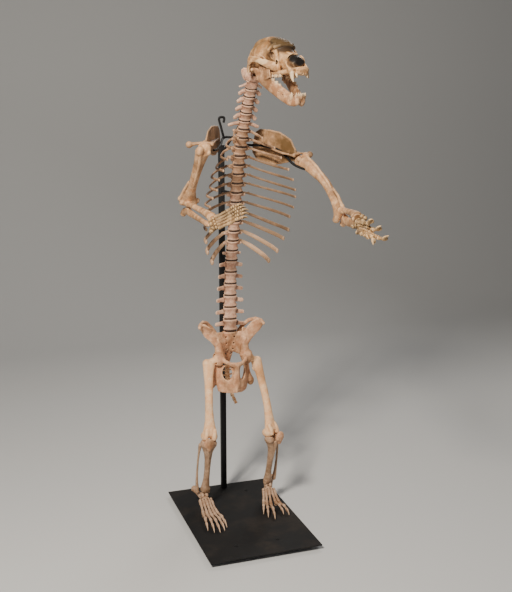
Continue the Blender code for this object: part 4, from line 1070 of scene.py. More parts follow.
# %% Build the feet
TOE_TIPS = {"right": ((-112, -118), (-134, -150), (-163, -162), (-192, -152), (-220, -122)),
            "left": ((128, -30), (138, -80), (166, -112), (232, -70), (258, -88))}
TOE_SHARES = (0.36, 0.66, 0.84)
TOE_HEIGHTS = (0.06, 0.068, 0.058)
TOE_HALVES = (10.5, 9.6, 8.8, 8)
CLAW_TIP_HEIGHT = 35
TARSALS = 5
HEEL = ((0, 0.0165, 0.017), (0.35, 0.0125, 0.0165), (0.7, 0.0115, 0.016), (1, 0.016, 0.02))
for side, sign in SIDE_SIGN.items():
    ankle = Vector(ANKLE[side])
    tips = [MM @ Vector((x, y, CLAW_TIP_HEIGHT)) for x, y in TOE_TIPS[side]]
    heading = tips[2] - ankle
    heading.z = 0
    heading.normalize()
    aside = Vector((-heading.y, heading.x, 0)) * sign
    foot = open_piece("foot_" + side + "_bones")
    up = Vector((0, 0, 1))
    # Ankle bone with its pulley, and the heel bone
    pace, _ = span(ankle, ankle + heading, up)
    for out in (-11, 11):
        lump(pace, (out, -24, 4), (12, 18.5, 23))
    heel = ankle - heading * 0.082 + aside * 0.04 + up * -0.012
    root = ankle + aside * 0.01 + up * -0.036
    loft(WORLD, [(*root.lerp(heel, share), wide, deep) for share, wide, deep in HEEL], sides=16)
    # Blocks of the instep
    tarsus = ankle + heading * 0.042 + up * -0.04
    lump(pace, (0, -36, 28), (19, 15, 12))
    for step in range(TARSALS):
        share = (step - 2) / 2
        block = tarsus + aside * share * 0.031 + up * (0.004 - 0.008 * abs(share)) - heading * 0.01
        lump(axes(block, block + heading, up), (0, 0, 0), (0.0088, 0.0135, 0.0125), fine=2)
    loft(WORLD, ((*(ankle - aside * 0.012 + up * -0.04), 0.013, 0.012),
                 (*(tarsus - heading * 0.012), 0.018, 0.01)))
    for index, tip in enumerate(tips):
        share = (index - 2) / 2
        base = tarsus + aside * share * 0.03 + up * (0.004 - 0.01 * abs(share))
        flat = tip - base
        flat.z = 0
        points = [base]
        for along, height in zip(TOE_SHARES, TOE_HEIGHTS):
            point = base + flat * along
            point.z = height
            points.append(point)
        points.append(tip)
        digit(points, TOE_HALVES, up)
        lump(WORLD, points[1] + Vector((0, 0, -0.012)), (0.0085, 0.0085, 0.008), fine=2)
    melt(foot, cell=0.0019, rounds=2, strength=0.45)
    weather(foot, height=0.0016, size=0.014)
    finish_piece(foot, foot_bone, "leg_bone", "foot_" + side)

# %% [markdown]
# ## Shoulder blades
# A shoulder blade is a thin sheet of bone, thicker along its borders, with a tall ridge that runs out
# over the joint and ends in a knuckle. The arm's ball rests in the shallow cup at its outer end. The
# sheet is one wide flat loft, and the borders, ridge and knuckle are laid on it. A plane with a solidify
# modifier would be of one thickness, while this sheet swells towards the joint.

# %% Build the shoulder blades
SHOULDER = {"right": (-0.222, -0.14, 2.045), "left": (0.288, -0.14, 1.984)}
BLADE_TOP = {"right": (-0.05, 0.175, 2.092), "left": (0.14, 0.165, 2.07)}
BLADE_HALF = {"right": 78, "left": 92}
RIDGE_RISE = {"right": 0.5, "left": 1.0}
ACROMION = {"right": (-0.288, -0.105, 2.062), "left": (0.338, -0.125, 2.01)}
RIDGE_END = ((0, 0, 0.009, 0.008), (0.35, 0.006, 0.007, 0.007), (0.7, 0.004, 0.0075, 0.008), (1, 0, 0.012, 0.013))
for side in SIDE_SIGN:
    blade, length = span(SHOULDER[side], BLADE_TOP[side], (0, 0, 1), side)
    half = BLADE_HALF[side]
    scapula = open_piece("scapula_" + side + "_bone")
    loft(blade, (
        (0, 0, 29, 26.5, 19), (0, 2, 38, 25.5, 16.5), (0, 6, 52, 27, 11.5), (0, 12, 70, 37, 7.5),
        (0, 19, 98, half * 0.7, 4.8), (0, 17, 135, half * 0.84, 4.2), (0, 10, 180, half * 0.94, 4),
        (0, 5, 225, half * 0.99, 4), (0, 2, 265, half * 0.97, 4.2), (0, 0, length - 30, half * 0.89, 5),
        (0, 0, length + 2, half * 0.62, 4.8)), across=AHEAD, sides=28)
    for edge in (-1, 1):
        loft(blade, (
            (0, 10 + edge * 24, 54, 6, 7.5), (0, 18 + edge * half * 0.62, 100, 5, 5.8),
            (0, 10 + edge * half * 0.9, 180, 4.5, 5.2), (0, 2 + edge * half * 0.9, 265, 4.5, 5)))
    rise = RIDGE_RISE[side]
    loft(blade, (
        (37, 18, 20, 10, 11), (31 * rise, 14, 45, 17 * rise, 6), (26 * rise, 10, 80, 24 * rise, 3.6),
        (20 * rise, 8, 130, 22.5 * rise, 3.4), (14 * rise, 6, 180, 19 * rise, 3.4),
        (9 * rise, 4, 240, 14 * rise, 3.8), (4 * rise, 0, length - 30, 8, 4.2)), sides=18)
    loft(blade, (
        (48 * rise, 16, 50, 5.5, 5), (48 * rise, 11, 85, 5, 6), (40 * rise, 8, 130, 4, 6.2),
        (30 * rise, 6, 185, 4, 5.8)))
    lump(blade, (-4, 26, 32), (10, 9, 10), fine=2)
    loft(blade, (
        (-14, -2, 52, 5, 6), (-7.5, 0, 110, 4.5, 6), (-6, -2, 200, 4, 5.5), (-5.5, -4, length - 35, 3.5, 4.5)
    ))
    ridge_end = blade @ Vector((38, 20, 24))
    knuckle = Vector(ACROMION[side])
    loft(WORLD, [(*(ridge_end.lerp(knuckle, share) + Vector((0, 0, rise))), wide, deep)
                 for share, rise, wide, deep in RIDGE_END], across=ALONG, sides=16)
    lump(WORLD, knuckle, (0.017, 0.017, 0.017))
    melt(scapula, cell=0.0024, rounds=4)
    cup = open_piece("shoulder_cup")
    lump(blade, (0, 0, -6), (34, 34, 34))
    hollow_out(scapula, cup, cell=0.0024, rounds=3)
    weather(scapula, height=0.0022, size=0.05)
    finish_piece(scapula, blade_bone, "arm_bone", "scapula_" + side)

# %% [markdown]
# ## Upper arm bones
# A cave bear's humerus is massive. Its ball faces back into the shoulder blade with a big knob in
# front of it, a long rough crest runs down the front, and the elbow end spreads into a broad pulley
# with a deep pit behind, where the tip of the elbow bone fits. The left one is bowed and twisted. Bending
# a finished bone would squeeze its ends, so its lower half is laid in a second frame that is turned.

# %% Build the upper arm bones
ELBOW = {"right": (-0.244, 0.12, 1.755), "left": (0.372, -0.44, 1.722)}
ARM_FRONT = {"right": (-0.15, -0.9, -0.6), "left": (-0.2, -0.8, 1.2)}
ARM_BOW = {"right": 0, "left": 34}
ELBOW_TWIST = {"right": 0.0, "left": 80.0}
for side in SIDE_SIGN:
    upper, length = span(SHOULDER[side], ELBOW[side], ARM_FRONT[side], side)
    bow = ARM_BOW[side]
    lower = upper @ Matrix.Rotation(radians(ELBOW_TWIST[side]), 4, "Z")
    bend = Matrix.Rotation(-radians(ELBOW_TWIST[side]), 4, "Z") @ Vector((bow, 0, 0))
    humerus = open_piece("humerus_" + side + "_bone")
    lump(upper, (-4, -6, 4), (33.5, 32, 29.5))
    lump(upper, (22, 20, 4), (20, 21.5, 25))
    lump(upper, (-22, 20, 8), (12, 12, 15))
    loft(upper, (
        (4, 4, 20, 37, 32), (4 + bow * 0.2, 6, 45, 32, 30), (4 + bow * 0.4, 7, 80, 28, 27),
        (4 + bow * 0.8, 7, length * 0.36, 23.5, 24.5), (3 + bow, 5, length * 0.46, 22.5, 23),
        (2 + bow, 3, length * 0.56, 22, 21.5), (bow * 0.9, 1, length * 0.68, 21.5, 20),
        (bow * 0.6, 0, length * 0.8, 21.5, 19)), sides=22)
    loft(lower, (
        (bend.x * 0.95, bend.y * 0.95, length * 0.62, 20, 19.5),
        (bend.x * 0.8, bend.y * 0.8, length * 0.74, 24, 18),
        (bend.x * 0.5, bend.y * 0.5, length * 0.84, 35, 16.8),
        (bend.x * 0.2 - 2, bend.y * 0.2, length * 0.91, 42, 16.5), (-4, 2, length - 20, 44, 18)), sides=22)
    # Crest down the front, and the flange above the elbow
    loft(upper, (
        (16, 30, 16, 9.5, 10), (12 + bow * 0.3, 36, 60, 8, 8.5), (8 + bow * 0.6, 36, 105, 7.2, 8),
        (4 + bow * 0.9, 29, length * 0.5, 7, 7), (bow, 20, length * 0.62, 7, 6)))
    loft(lower, (
        (24 + bend.x, bend.y - 4, length * 0.6, 5, 7),
        (36 + bend.x * 0.7, bend.y * 0.7 - 4, length * 0.76, 7.5, 6.5),
        (43 + bend.x * 0.2, bend.y * 0.2 - 3, length * 0.9, 8, 9)))
    # Pulley, and the knobs on both sides of it
    loft(lower, (
        (-38, 4, length - 14, 19, 17.5), (-22, 4, length - 12, 17.5, 16.5), (-4, 4, length - 10, 15, 14),
        (14, 4, length - 12, 16.5, 16), (34, 4, length - 14, 16.5, 17)), across=AHEAD, sides=18)
    lump(lower, (-50, -8, length - 26), (11, 13, 17))
    lump(lower, (46, -6, length - 28), (9, 12, 15))
    melt(humerus, cell=0.0024, rounds=5)
    pit = open_piece("elbow_pit")
    lump(lower, (-2, -26, length - 36), (17, 15, 20))
    lump(lower, (-2, 30, length - 38), (15, 11, 13))
    hollow_out(humerus, pit, cell=0.0024)
    weather(humerus, height=0.0018, size=0.05)
    finish_piece(humerus, arm_bone, "arm_bone", "humerus_" + side)

# %% [markdown]
# ## Forearms
# Two bones lie side by side. The radius, in front, has a round cupped head and grows towards the wrist.
# The ulna is deepest at the elbow, where it grips the pulley with a half-moon notch and juts out behind
# as the point of the elbow, and it tapers to a peg at the wrist. Each could have a line of its own, but
# both are laid along the line from elbow to wrist, which keeps them side by side.

# %% Build the forearms
WRIST = {"right": (-0.208, -0.205, 1.704), "left": (0.312, -0.755, 1.736)}
RADIUS_LIFT = {"right": 0, "left": 24}
ULNA_SHIFT = {"right": (0, 0), "left": (16, 22)}
ULNA_DEPTH = {"right": 1.0, "left": 1.35}
for side in SIDE_SIGN:
    fore, length = span(ELBOW[side], WRIST[side], (0, 0, 1), side)
    radius = open_piece("radius_" + side + "_bone")
    stations = (
        (6, 8, 24, 21.5, 17.5), (6, 8, 34, 20.5, 17), (6, 9, 50, 15, 13.5), (5, 12, length * 0.28, 15, 13.5),
        (4, 15, length * 0.5, 16.5, 14), (1, 16, length * 0.68, 18.5, 15),
        (-2, 16, length * 0.84, 22.5, 17.5), (-4, 13, length * 0.95, 26, 21), (-4, 12, length - 8, 25.5, 20))
    lift = RADIUS_LIFT[side]
    loft(fore, [(x, y + lift * (1 - 0.7 * z / length), z, wide, deep)
                for x, y, z, wide, deep in stations], sides=18)
    lump(fore, (-6, 2 + lift, 68), (9, 9, 15), fine=2)
    loft(fore, ((-20, 10, length * 0.92, 8, 11), (-22, 8, length + 2, 7, 9.5)))
    loft(fore, ((2, 29, length * 0.78, 4, 5), (2, 33, length * 0.94, 5, 4.5)))
    melt(radius, cell=0.0022, rounds=4)
    weather(radius, height=0.0014, size=0.04)
    finish_piece(radius, arm_bone, "arm_bone", "radius_" + side)

    ulna = open_piece("ulna_" + side + "_bone")
    stations = (
        (4, -64, -40, 16, 16.5), (4, -54, -36, 13, 18.5), (3, -44, -24, 12, 19), (2, -36, 0, 14, 19),
        (2, -33, 24, 15, 20), (3, -34, 60, 13.5, 18.5), (4, -34, length * 0.38, 11.5, 16),
        (6, -32, length * 0.58, 10.8, 14), (8, -30, length * 0.76, 11, 13),
        (10, -27, length * 0.92, 14, 14.5), (10, -26, length - 16, 13, 13))
    aside, closer = ULNA_SHIFT[side]
    loft(fore, [(x + aside * (1 - z / length), y + closer * (1 - z / length), z, wide, deep * ULNA_DEPTH[side])
                for x, y, z, wide, deep in stations], sides=18)
    loft(fore, ((2 + aside, closer - 18, 22, 14, 7), (2 + aside, closer - 20, 40, 11, 8)))
    loft(fore, ((10, -26, length - 18, 8.5, 8.5), (10, -28, length - 4, 6.5, 7)))
    melt(ulna, cell=0.0022, rounds=4)
    weather(ulna, height=0.0014, size=0.04)
    finish_piece(ulna, arm_bone, "arm_bone", "ulna_" + side)

# %% [markdown]
# ## Hands
# The wrist is a double row of pebbles with a hooked one that sticks out below. Five long hand bones fan
# out from it, then the fingers, bent at their knuckles, and the claws, which are longer than on the feet.
# An armature could pose them, but a hand that never moves only needs a place for each knuckle.

# %% Build the hands
HAND_TIP = {"right": (-0.045, -0.285, 1.758), "left": (0.394, -0.918, 1.678)}
PALM_SHIFT = {"right": (-0.008, -0.008, -0.026), "left": (0.0, 0.0, 0.0)}
FINGER_SHARES = (0.0, 0.44, 0.68, 0.82, 1.0)
FINGER_LIFTS = (0.0, 0.004, 0.018, 0.014, -0.014)
FINGER_REACH = (0.9, 0.96, 1.0, 0.95, 0.9)
CARPUS = 0.034
HAND_UP = {"right": (0.1, 0.55, 0.9), "left": (0.55, 0.1, 0.9)}
FINGER_HALVES = {"right": (10.8, 10.2, 9.6, 8.8), "left": (11.8, 11.2, 11, 11.8)}
# The left hand hangs free with curled fingers, so each of its knuckles has its own place
LEFT_FINGERS = (
    ((294, -775, 1735), (309, -815, 1734), (315, -845, 1733), (320, -866, 1742), (314, -888, 1757)),
    ((302, -775, 1722), (324, -820, 1719), (338, -850, 1706), (355, -872, 1709), (354, -896, 1727)),
    ((307, -775, 1708), (331, -825, 1695), (356, -860, 1671), (379, -882, 1666), (386, -908, 1684)),
    ((305, -775, 1697), (322, -820, 1686), (333, -850, 1676), (334, -866, 1660), (325, -884, 1642)),
    ((298, -775, 1688), (308, -800, 1684), (315, -820, 1680), (322, -832, 1674), (322, -848, 1664)))
for side in SIDE_SIGN:
    wrist = Vector(WRIST[side]) + Vector(PALM_SHIFT[side])
    tip = Vector(HAND_TIP[side])
    heading = (tip - wrist).normalized()
    up = Vector(HAND_UP[side])
    up = (up - heading * up.dot(heading)).normalized()
    bend = heading.cross(up)
    if bend.y > 0:
        bend = -bend
    palm, _ = span(wrist, tip, bend)
    hand = open_piece("hand_" + side + "_bones")
    for row, (out, count, size) in enumerate(((0.008, 3, 0.013), (0.025, 4, 0.0102))):
        for index in range(count):
            share = (index - (count - 1) / 2) / max(1, count - 1) * 2
            place = wrist + heading * out + up * share * 0.0235 + bend * (0.004 - 0.004 * abs(share))
            lump(axes(place, place + heading, bend), (0, 0, 0), (size, size * 1.2, size * 0.95), fine=3)
    lump(palm, (0, -2, CARPUS * 1000 / 2), (22, 14, 16))
    hook = wrist - up * 0.036 - heading * 0.004 + bend * 0.004
    loft(WORLD, ((*(wrist - up * 0.018 + heading * 0.008), 0.01, 0.01),
                 (*wrist.lerp(hook, 0.55), 0.0085, 0.0085), (*hook, 0.0125, 0.0125)), sides=14)
    for index, reach in enumerate(FINGER_REACH):
        share = (index - 2) / 2
        base = wrist + heading * CARPUS + up * share * 0.03
        fan = (heading + up * share * 0.04).normalized()
        length = ((tip - wrist).length - CARPUS) * reach
        points = [base + fan * length * along + bend * lift for along, lift in zip(FINGER_SHARES, FINGER_LIFTS)]
        if side == "left":
            points = [MM @ Vector(point) for point in LEFT_FINGERS[index]]
        digit(points, FINGER_HALVES[side], bend)
    melt(hand, cell=0.0018, rounds=2, strength=0.45)
    weather(hand, height=0.0014, size=0.014)
    finish_piece(hand, hand_bone, "arm_bone", "hand_" + side)

# %% [markdown]
# ## The skull
# A cave bear's head is high-domed: the forehead rises in a step above the nose, and a tall crest runs
# back from it, where the jaw muscles were rooted. Wide cheek arches stand away from the braincase, small
# eye pits sit low in front of them, and the nose is one big open hollow. The whole shape is laid
# in the skull's own frame, x to the bear's left, y up and z along the muzzle, then melted and hollowed.

# %% The skull's frame and colours
SKULL_TURN = 0.2007
head = axes(SKULL_BASE, SKULL_BASE + Vector((sin(SKULL_TURN), -cos(SKULL_TURN), 0)), (0, 0, 1)) @ MM
# Zones of other colour: place and reach in the skull's frame, tint, strength. Most of them are painted
# shade, and one is a painted highlight.
SKULL_ZONES = (
    # Painted shade on the forehead, over its stain
    ((0, 101, 252), (86, 68, 52), (0.07, 0.043, 0.016), 0.92),  # forehead
    # Painted shadow under the step of the brow
    ((0, 64, 292), (56, 38, 22), (0.03, 0.016, 0.007), 0.92),  # step of the brow
    ((0, 104, 60), (70, 90, 42), (0.22, 0.115, 0.042), 0.7),  # back of the dome
    # Painted shade in the eye pit and temple
    ((-66, 46, 222), (30, 46, 19), (0.085, 0.04, 0.016), 0.85),  # eye pit and temple
    # Painted highlight on the cheek arch
    ((-92, 14, 210), (26, 62, 15), (0.98, 0.72, 0.42), 0.6),  # cheek arch
    # Painted shade in the hole for the nerve of the face
    ((-54, 8, 292), (14, 6.5, 12), (0.02, 0.01, 0.005), 0.95),  # hole for the nerve of the face
    # Painted shade in the hollow of the nose
    ((-3, 12, 373), (43, 46, 37), (0.006, 0.004, 0.003), 1.0),  # hollow of the nose
)
skull_bone = bone_finish(
    "skull_bone", (0.42, 0.205, 0.082), (0.92, 0.6, 0.33), (0.13, 0.062, 0.02), stained=0.56,
    zones=[(head @ Vector(place), [reach / 1000 for reach in radii], tint, strength)
           for place, radii, tint, strength in SKULL_ZONES])
print("zones of colour on the skull", len(SKULL_ZONES))

# %% [markdown]
# ## Braincase and muzzle
# The braincase, the hollow forehead and the muzzle are one vault from the neck to the lips. It could be
# a block that is pushed into shape, but a row of cross-sections gives the profile at once: the domed
# forehead, the step at the eyes and the falling nose. Crest, brow, palate and nose bones lie over it.

# %% Lay the braincase and the muzzle
skull = open_piece("skull_bone")
# Braincase, forehead and muzzle
loft(head, (
    (0, 28, 4, 37, 41), (0, 38, 26, 42, 48), (0, 48, 50, 47, 53), (0, 56, 80, 52, 56), (0, 60, 110, 53, 58),
    (0, 62, 140, 48, 56), (0, 62, 168, 44, 52), (0, 60, 195, 47, 55), (0, 56, 222, 53, 56),
    (0, 46, 248, 55, 56), (0, 30, 272, 52, 48), (0, 14, 296, 49, 44), (0, 6, 320, 46, 42),
    (0, 1, 345, 43, 39), (0, -6, 370, 41, 34), (0, -20, 394, 38, 26), (0, -32, 420, 34, 17)), sides=28)
# Crest and domed forehead
loft(head, (
    (0, 84, -4, 7, 20), (0, 100, 18, 8, 23), (0, 111, 48, 8.5, 21), (0, 117, 88, 9.5, 18),
    (0, 121, 128, 13, 15.5), (0, 120, 160, 21.5, 15.5), (0, 114, 190, 34, 17), (0, 106, 222, 44, 18.5),
    (0, 97, 250, 47, 18), (0, 90, 268, 44, 14)), sides=20, dome=0.9)
# Brow bar over the root of the nose
loft(head, (
    (-54, 78, 262, 10.5, 9), (-30, 84, 279, 10, 8), (0, 83, 284, 8.5, 7), (30, 84, 279, 10, 8),
    (54, 78, 262, 10.5, 9)), across=AHEAD, sides=16)
# Palate and front of the upper jaw
loft(head, (
    (0, -22, 150, 29, 15), (0, -28, 220, 34, 15), (0, -30, 300, 38, 15), (0, -34, 370, 37, 15),
    (0, -42, 418, 33, 15)), sides=20)
# Nose bones, ending in two points
for side, flank in flanks(head):
    loft(flank, (
        (10, 60, 288, 14, 7), (11, 51, 314, 13, 5.5), (12, 44, 338, 10, 4.2), (12, 41, 354, 6, 3.4)
    ), sides=14)
# The thin rim of the nose stands up to a broken spike on the far side
loft(head, (
    (38.5, 6, 330, 3.2, 36), (38.5, 6, 346, 3, 34), (38, 2, 358, 2.8, 30), (37, -6, 370, 2.6, 22)
), sides=16, dome=0.2)
loft(head, (
    (39, -20, 376, 4, 4.6), (38, 4, 366, 2.8, 3.6), (34, 26, 362, 2.4, 3), (26, 44, 366, 2.2, 2.6),
    (21, 58, 375, 1.8, 2.2)), across=ALONG, sides=10)
print("braincase and muzzle laid")

# %% [markdown]
# ## Cheeks, brows and tooth sockets
# The cheek arches let the jaw muscles pass between them and the braincase, so they stand far out and are
# deep where the muscles held. Everything here comes in pairs. A mirror modifier could make the other
# half, but the nose above isn't the same on both sides, so a mirrored frame lays each shape twice.

# %% Lay the cheeks, brows and sockets
for side, flank in flanks(head):
    # Crest across the back of the head
    loft(flank, ((0, 96, 0, 7, 11), (18, 82, 2, 6, 9), (34, 56, 12, 6, 8.5), (46, 22, 30, 8, 11)))
    # Cheek arch: deep at its root, slim in the middle, broad again under the eye
    loft(flank, (
        (46, 26, 58, 16, 11), (66, 24, 70, 19, 9.5), (86, 23, 88, 22, 7.8), (98, 25, 110, 23, 6.6),
        (103, 30, 136, 16.5, 6), (102, 29, 166, 13.5, 5.8), (96, 22, 194, 13.5, 6.4), (87, 11, 222, 16, 8),
        (74, 0, 248, 19, 11.5), (58, -10, 272, 21, 16.5), (46, -12, 294, 20, 16)), across=AHEAD, sides=20)
    loft(flank, ((86, 18, 222, 6, 8.5), (83, 34, 230, 4.5, 6)))
    # Brow process above and behind the eye
    loft(flank, (
        (38, 88, 256, 18, 12.5), (50, 83, 248, 15, 10.5), (61, 74, 240, 10, 8.5), (68, 65, 234, 6, 6.5)))
    # Bone between the eye and the nose
    loft(flank, ((50, 60, 272, 9, 10), (53, 36, 284, 10, 11), (52, 10, 290, 11, 12)))
    # Socket rims of the cheek teeth, and the swelling over the root of the canine tooth
    loft(flank, (
        (48, -34, 205, 11, 11), (45, -38, 260, 11, 11), (42, -38, 330, 10, 11), (37, -36, 392, 12.5, 13)))
    loft(flank, ((39, 12, 336, 8, 10), (41, -8, 360, 11, 12), (39, -34, 384, 14, 14.5)))
    # Neck knuckles, ear drum and the peg behind it
    lump(flank, (23, 0, -4), (13.5, 17.5, 14))
    lump(flank, (36, -16, 50), (13, 11, 18))
    loft(flank, ((50, 14, 30, 10.5, 12), (54, -6, 28, 9, 10), (56, -24, 32, 6, 7.5)))
    # Wings of the throat, behind the palate
    loft(flank, ((26, -18, 100, 6, 15), (27, -26, 140, 5.5, 15), (28, -28, 190, 6, 13)))
melt(skull, cell=0.0022, rounds=3)
print("skull melted into", len(skull.data.polygons), "faces")

# %% [markdown]
# ## The skull's hollows
# Eye pits that open into the temples, the nose, the ear holes and the throat are what makes a skull look
# like a skull. They are laid as lofts in one cutter and taken out with one boolean, because each further
# boolean would leave its own ragged edge to be melted away.

# %% Hollow the skull
pits = open_piece("skull_pits")
for side, flank in flanks(head):
    # Eye pit, open behind to the hollow of the temple
    loft(flank, (
        (98, 44, 262, 16, 18), (70, 44, 250, 16, 18), (46, 44, 236, 13.5, 15)), across=AHEAD, sides=20)
    loft(flank, (
        (72, 36, 226, 20, 24), (79, 42, 190, 17, 29), (78, 46, 150, 16, 32), (76, 48, 118, 13, 29),
        (70, 50, 94, 8, 18)), sides=18)
    # Hole for the nerve of the face, ear hole and the sockets of the front teeth
    loft(flank, ((68, 8, 296, 6.2, 11.5), (44, 8, 288, 5.6, 10)))
    loft(flank, ((64, 10, 52, 5, 5), (40, 12, 56, 4.6, 4.6)))
    for index in range(3):
        loft(flank, (
            (5.5 + 9 * index, -66, 428 - 5 * index, 3.2, 4.6), (5.5 + 9 * index, -46, 422 - 5 * index, 2.8, 4)
        ))
# Nose hollow, throat, the hole for the spinal cord and the vault of the palate
loft(head, ((-70, 22, 402, 50, 45), (30, 22, 402, 50, 45)), across=ALONG, sides=28, dome=0.1)
loft(head, (
    (-3, 6, 388, 33, 34), (-4, 6, 366, 37, 36), (-3, 8, 344, 35, 33.5), (0, 12, 318, 27, 27),
    (0, 18, 280, 16, 18)), sides=28, dome=0.2)
loft(head, ((0, 20, -30, 15, 13), (0, 26, 10, 15, 13), (0, 34, 40, 17, 16)), sides=18)
loft(head, ((0, -36, 120, 18, 11), (0, -30, 200, 16, 9)), sides=16)
loft(head, ((0, -52, 215, 26, 8.5), (0, -53, 300, 27, 8.5), (0, -54, 385, 22, 8)), sides=18)
hollow_out(skull, pits, cell=0.0022, rounds=2)
weather(skull, height=0.002, size=0.035)
finish_piece(skull, skull_bone, "skull_bone", "skull")

# %% [markdown]
# ## The lower jaw
# Two halves meet at the chin. Each is a deep bar that curves up behind into a broad, thin plate with
# a crossways hinge roller and a tall hook in front of it, where the biting muscles held. A flat outline
# could be extruded, but the halves lean and spread, and hoops can lean with them.

# %% Build the lower jaw
jaw = open_piece("jaw_bone")
for side, flank in flanks(head):
    # Tooth bar, from the angle behind to the chin
    loft(flank, (
        (73, -48, 140, 13, 7), (72, -46, 156, 23, 7.2), (70, -54, 180, 29, 8), (66, -66, 198, 30, 9.2),
        (60, -82, 220, 29, 10.6), (53, -102, 256, 30, 11.8), (45, -124, 294, 30, 12.4),
        (37, -144, 330, 29, 13.2), (28, -160, 360, 28, 14.2), (19, -167, 384, 25, 15), (12, -166, 402, 19, 13)
    ), across=AHEAD, sides=22)
    # Rising plate and its hook
    loft(flank, (
        (67, -66, 206, 48, 8.5), (69, -50, 202, 56, 7), (71, -32, 200, 54, 5.8), (72, -12, 197, 47, 5),
        (71, 8, 190, 35, 4.4), (70, 26, 180, 23, 4), (70, 38, 168, 12, 3.8)), across=ALONG, sides=20)
    # Hinge roller, its neck and the hooked angle
    loft(flank, (
        (58, -16, 120, 7.5, 7.5), (74, -15, 118, 8.5, 8.5), (91, -16, 120, 7.5, 7.5)
    ), across=AHEAD, sides=16)
    loft(flank, (
        (74, -18, 126, 12, 7), (73, -28, 142, 19, 6.6), (72, -40, 160, 24, 6.6)), across=ALONG, sides=16)
    loft(flank, ((72, -60, 134, 5, 5), (72, -60, 150, 8, 7)), across=AHEAD)
    # Front border of the plate, the sockets of the cheek teeth and the swelling under the canine tooth
    loft(flank, ((70, 6, 222, 4, 5), (69, -24, 238, 6, 5.5), (64, -56, 246, 7, 6)))
    loft(flank, ((62, -64, 215, 8, 7), (52, -80, 258, 8, 7), (44, -100, 304, 7, 7)))
    loft(flank, ((31, -164, 362, 13, 13), (33, -144, 378, 12.5, 12.5)))
    loft(flank, ((41, -116, 324, 4, 4.5), (36, -134, 350, 4.5, 4.5), (34, -146, 366, 6, 6)))
loft(head, (
    (-22, -152, 394, 11, 9.5), (0, -153, 402, 11, 9.5), (22, -152, 394, 11, 9.5)), across=AHEAD, sides=14)
melt(jaw, cell=0.0021, rounds=3)
holes = open_piece("jaw_holes")
for side, flank in flanks(head):
    lump(flank, (86, -26, 196), (12.5, 22, 26))
    lump(flank, (50, -138, 330), (6, 3.6, 5.2), fine=2)
    lump(flank, (54, -124, 304), (6, 3, 4), fine=2)
hollow_out(jaw, holes, cell=0.0021, rounds=2)
weather(jaw, height=0.0018, size=0.03)
finish_piece(jaw, jaw_bone, "jaw_bone", "mandible")

# %% [markdown]
# ## Teeth
# The canines are long curved cones. The cheek teeth of a bear that ate plants are long, low and
# knobbly: each is a block with two rows of rounded cusps. Between canine and cheek teeth is a bare gap.
# The lower front teeth are small pegs in a row. Of the upper ones only the outer pair is left, beside
# empty sockets. Cones and cubes would be quick, but a used tooth has no straight edge, so they are lofts
# and lumps too, melted with the smallest cells.

# %% Build the teeth
def pointed_tooth(root, tip, half, curve):
    """A curved, tapering tooth from its root to its tip."""
    root, tip = Vector(root), Vector(tip)
    stations = []
    for share, width in ((0.0, 0.92), (0.18, 1.0), (0.4, 0.9), (0.62, 0.7), (0.82, 0.44), (0.96, 0.18)):
        centre = root.lerp(tip, share) + Vector((0, 0, curve * sin(pi * share)))
        stations.append((*centre, half * width, half * width * 1.15))
    loft(head, stations, sides=18, dome=0.4)


def cheek_tooth(place, length, width, height, toward):
    """A long low crown with two rows of rounded cusps."""
    x, y, z = place
    loft(head, (
        (x, y, z - length * 0.42, width * 0.72, height * 0.75),
        (x, y, z - length * 0.2, width, height * 0.85), (x, y, z + length * 0.2, width, height * 0.85),
        (x, y, z + length * 0.42, width * 0.74, height * 0.75)), sides=14, dome=0.3)
    for row in (-1, 1):
        for step in (-0.3, 0.0, 0.3):
            lump(head, (x + row * width * 0.52, y + toward * height * 0.62, z + step * length),
                 (width * 0.4, height * 0.55, length * 0.15), fine=2)


UPPER_CHEEK = ((47.5, -48, 230, 44, 9.5), (45, -49, 269, 30, 9), (42.5, -49, 298, 22, 7.8))
LOWER_CHEEK = (
    (56, -64, 224, 24, 6.5), (53.5, -70, 250, 26, 6.8), (50, -83, 275, 24, 6.4), (45.5, -96, 297, 16, 5.5))
CANINE_TIP = {-1: -86, 1: -66}
upper_teeth = open_piece("upper_teeth")
for side in (-1, 1):
    pointed_tooth((side * 38.5, -38, 390), (side * 41.5, CANINE_TIP[side], 408), 10.4, -5)
    for x, y, z, length, width in UPPER_CHEEK:
        cheek_tooth((side * x, y, z), length, width, 8.5, -1)
    pointed_tooth((side * 27, -46, 408), (side * 28.5, -66, 416), 6.2, 0)
melt(upper_teeth, cell=0.0013, rounds=2)
finish_piece(upper_teeth, tooth_ivory, "skull_bone")
lower_teeth = open_piece("lower_teeth")
for side in (-1, 1):
    pointed_tooth((side * 32.5, -158, 374), (side * 37, -128, 386), 9.5, 3)
    for x, y, z, length, width in LOWER_CHEEK:
        cheek_tooth((side * x, y, z), length, width, 7.5, 1)
    for index in range(3):
        x = side * (4.5 + 8.2 * index)
        pointed_tooth((x, -150, 402 - 3 * index), (x, -130, 410 - 3 * index), 4.4, 0)
melt(lower_teeth, cell=0.0013, rounds=2)
finish_piece(lower_teeth, tooth_ivory, "jaw_bone")

# %% [markdown]
# ## The base
# The mount stands on a steel plate with rounded edges, which rests on a smaller welded frame of square
# tube, so that its rim seems to float. Two domed bolts in front and two behind hold it. Plain cubes would
# have edges that catch no light, so every block gets a narrow bevel.

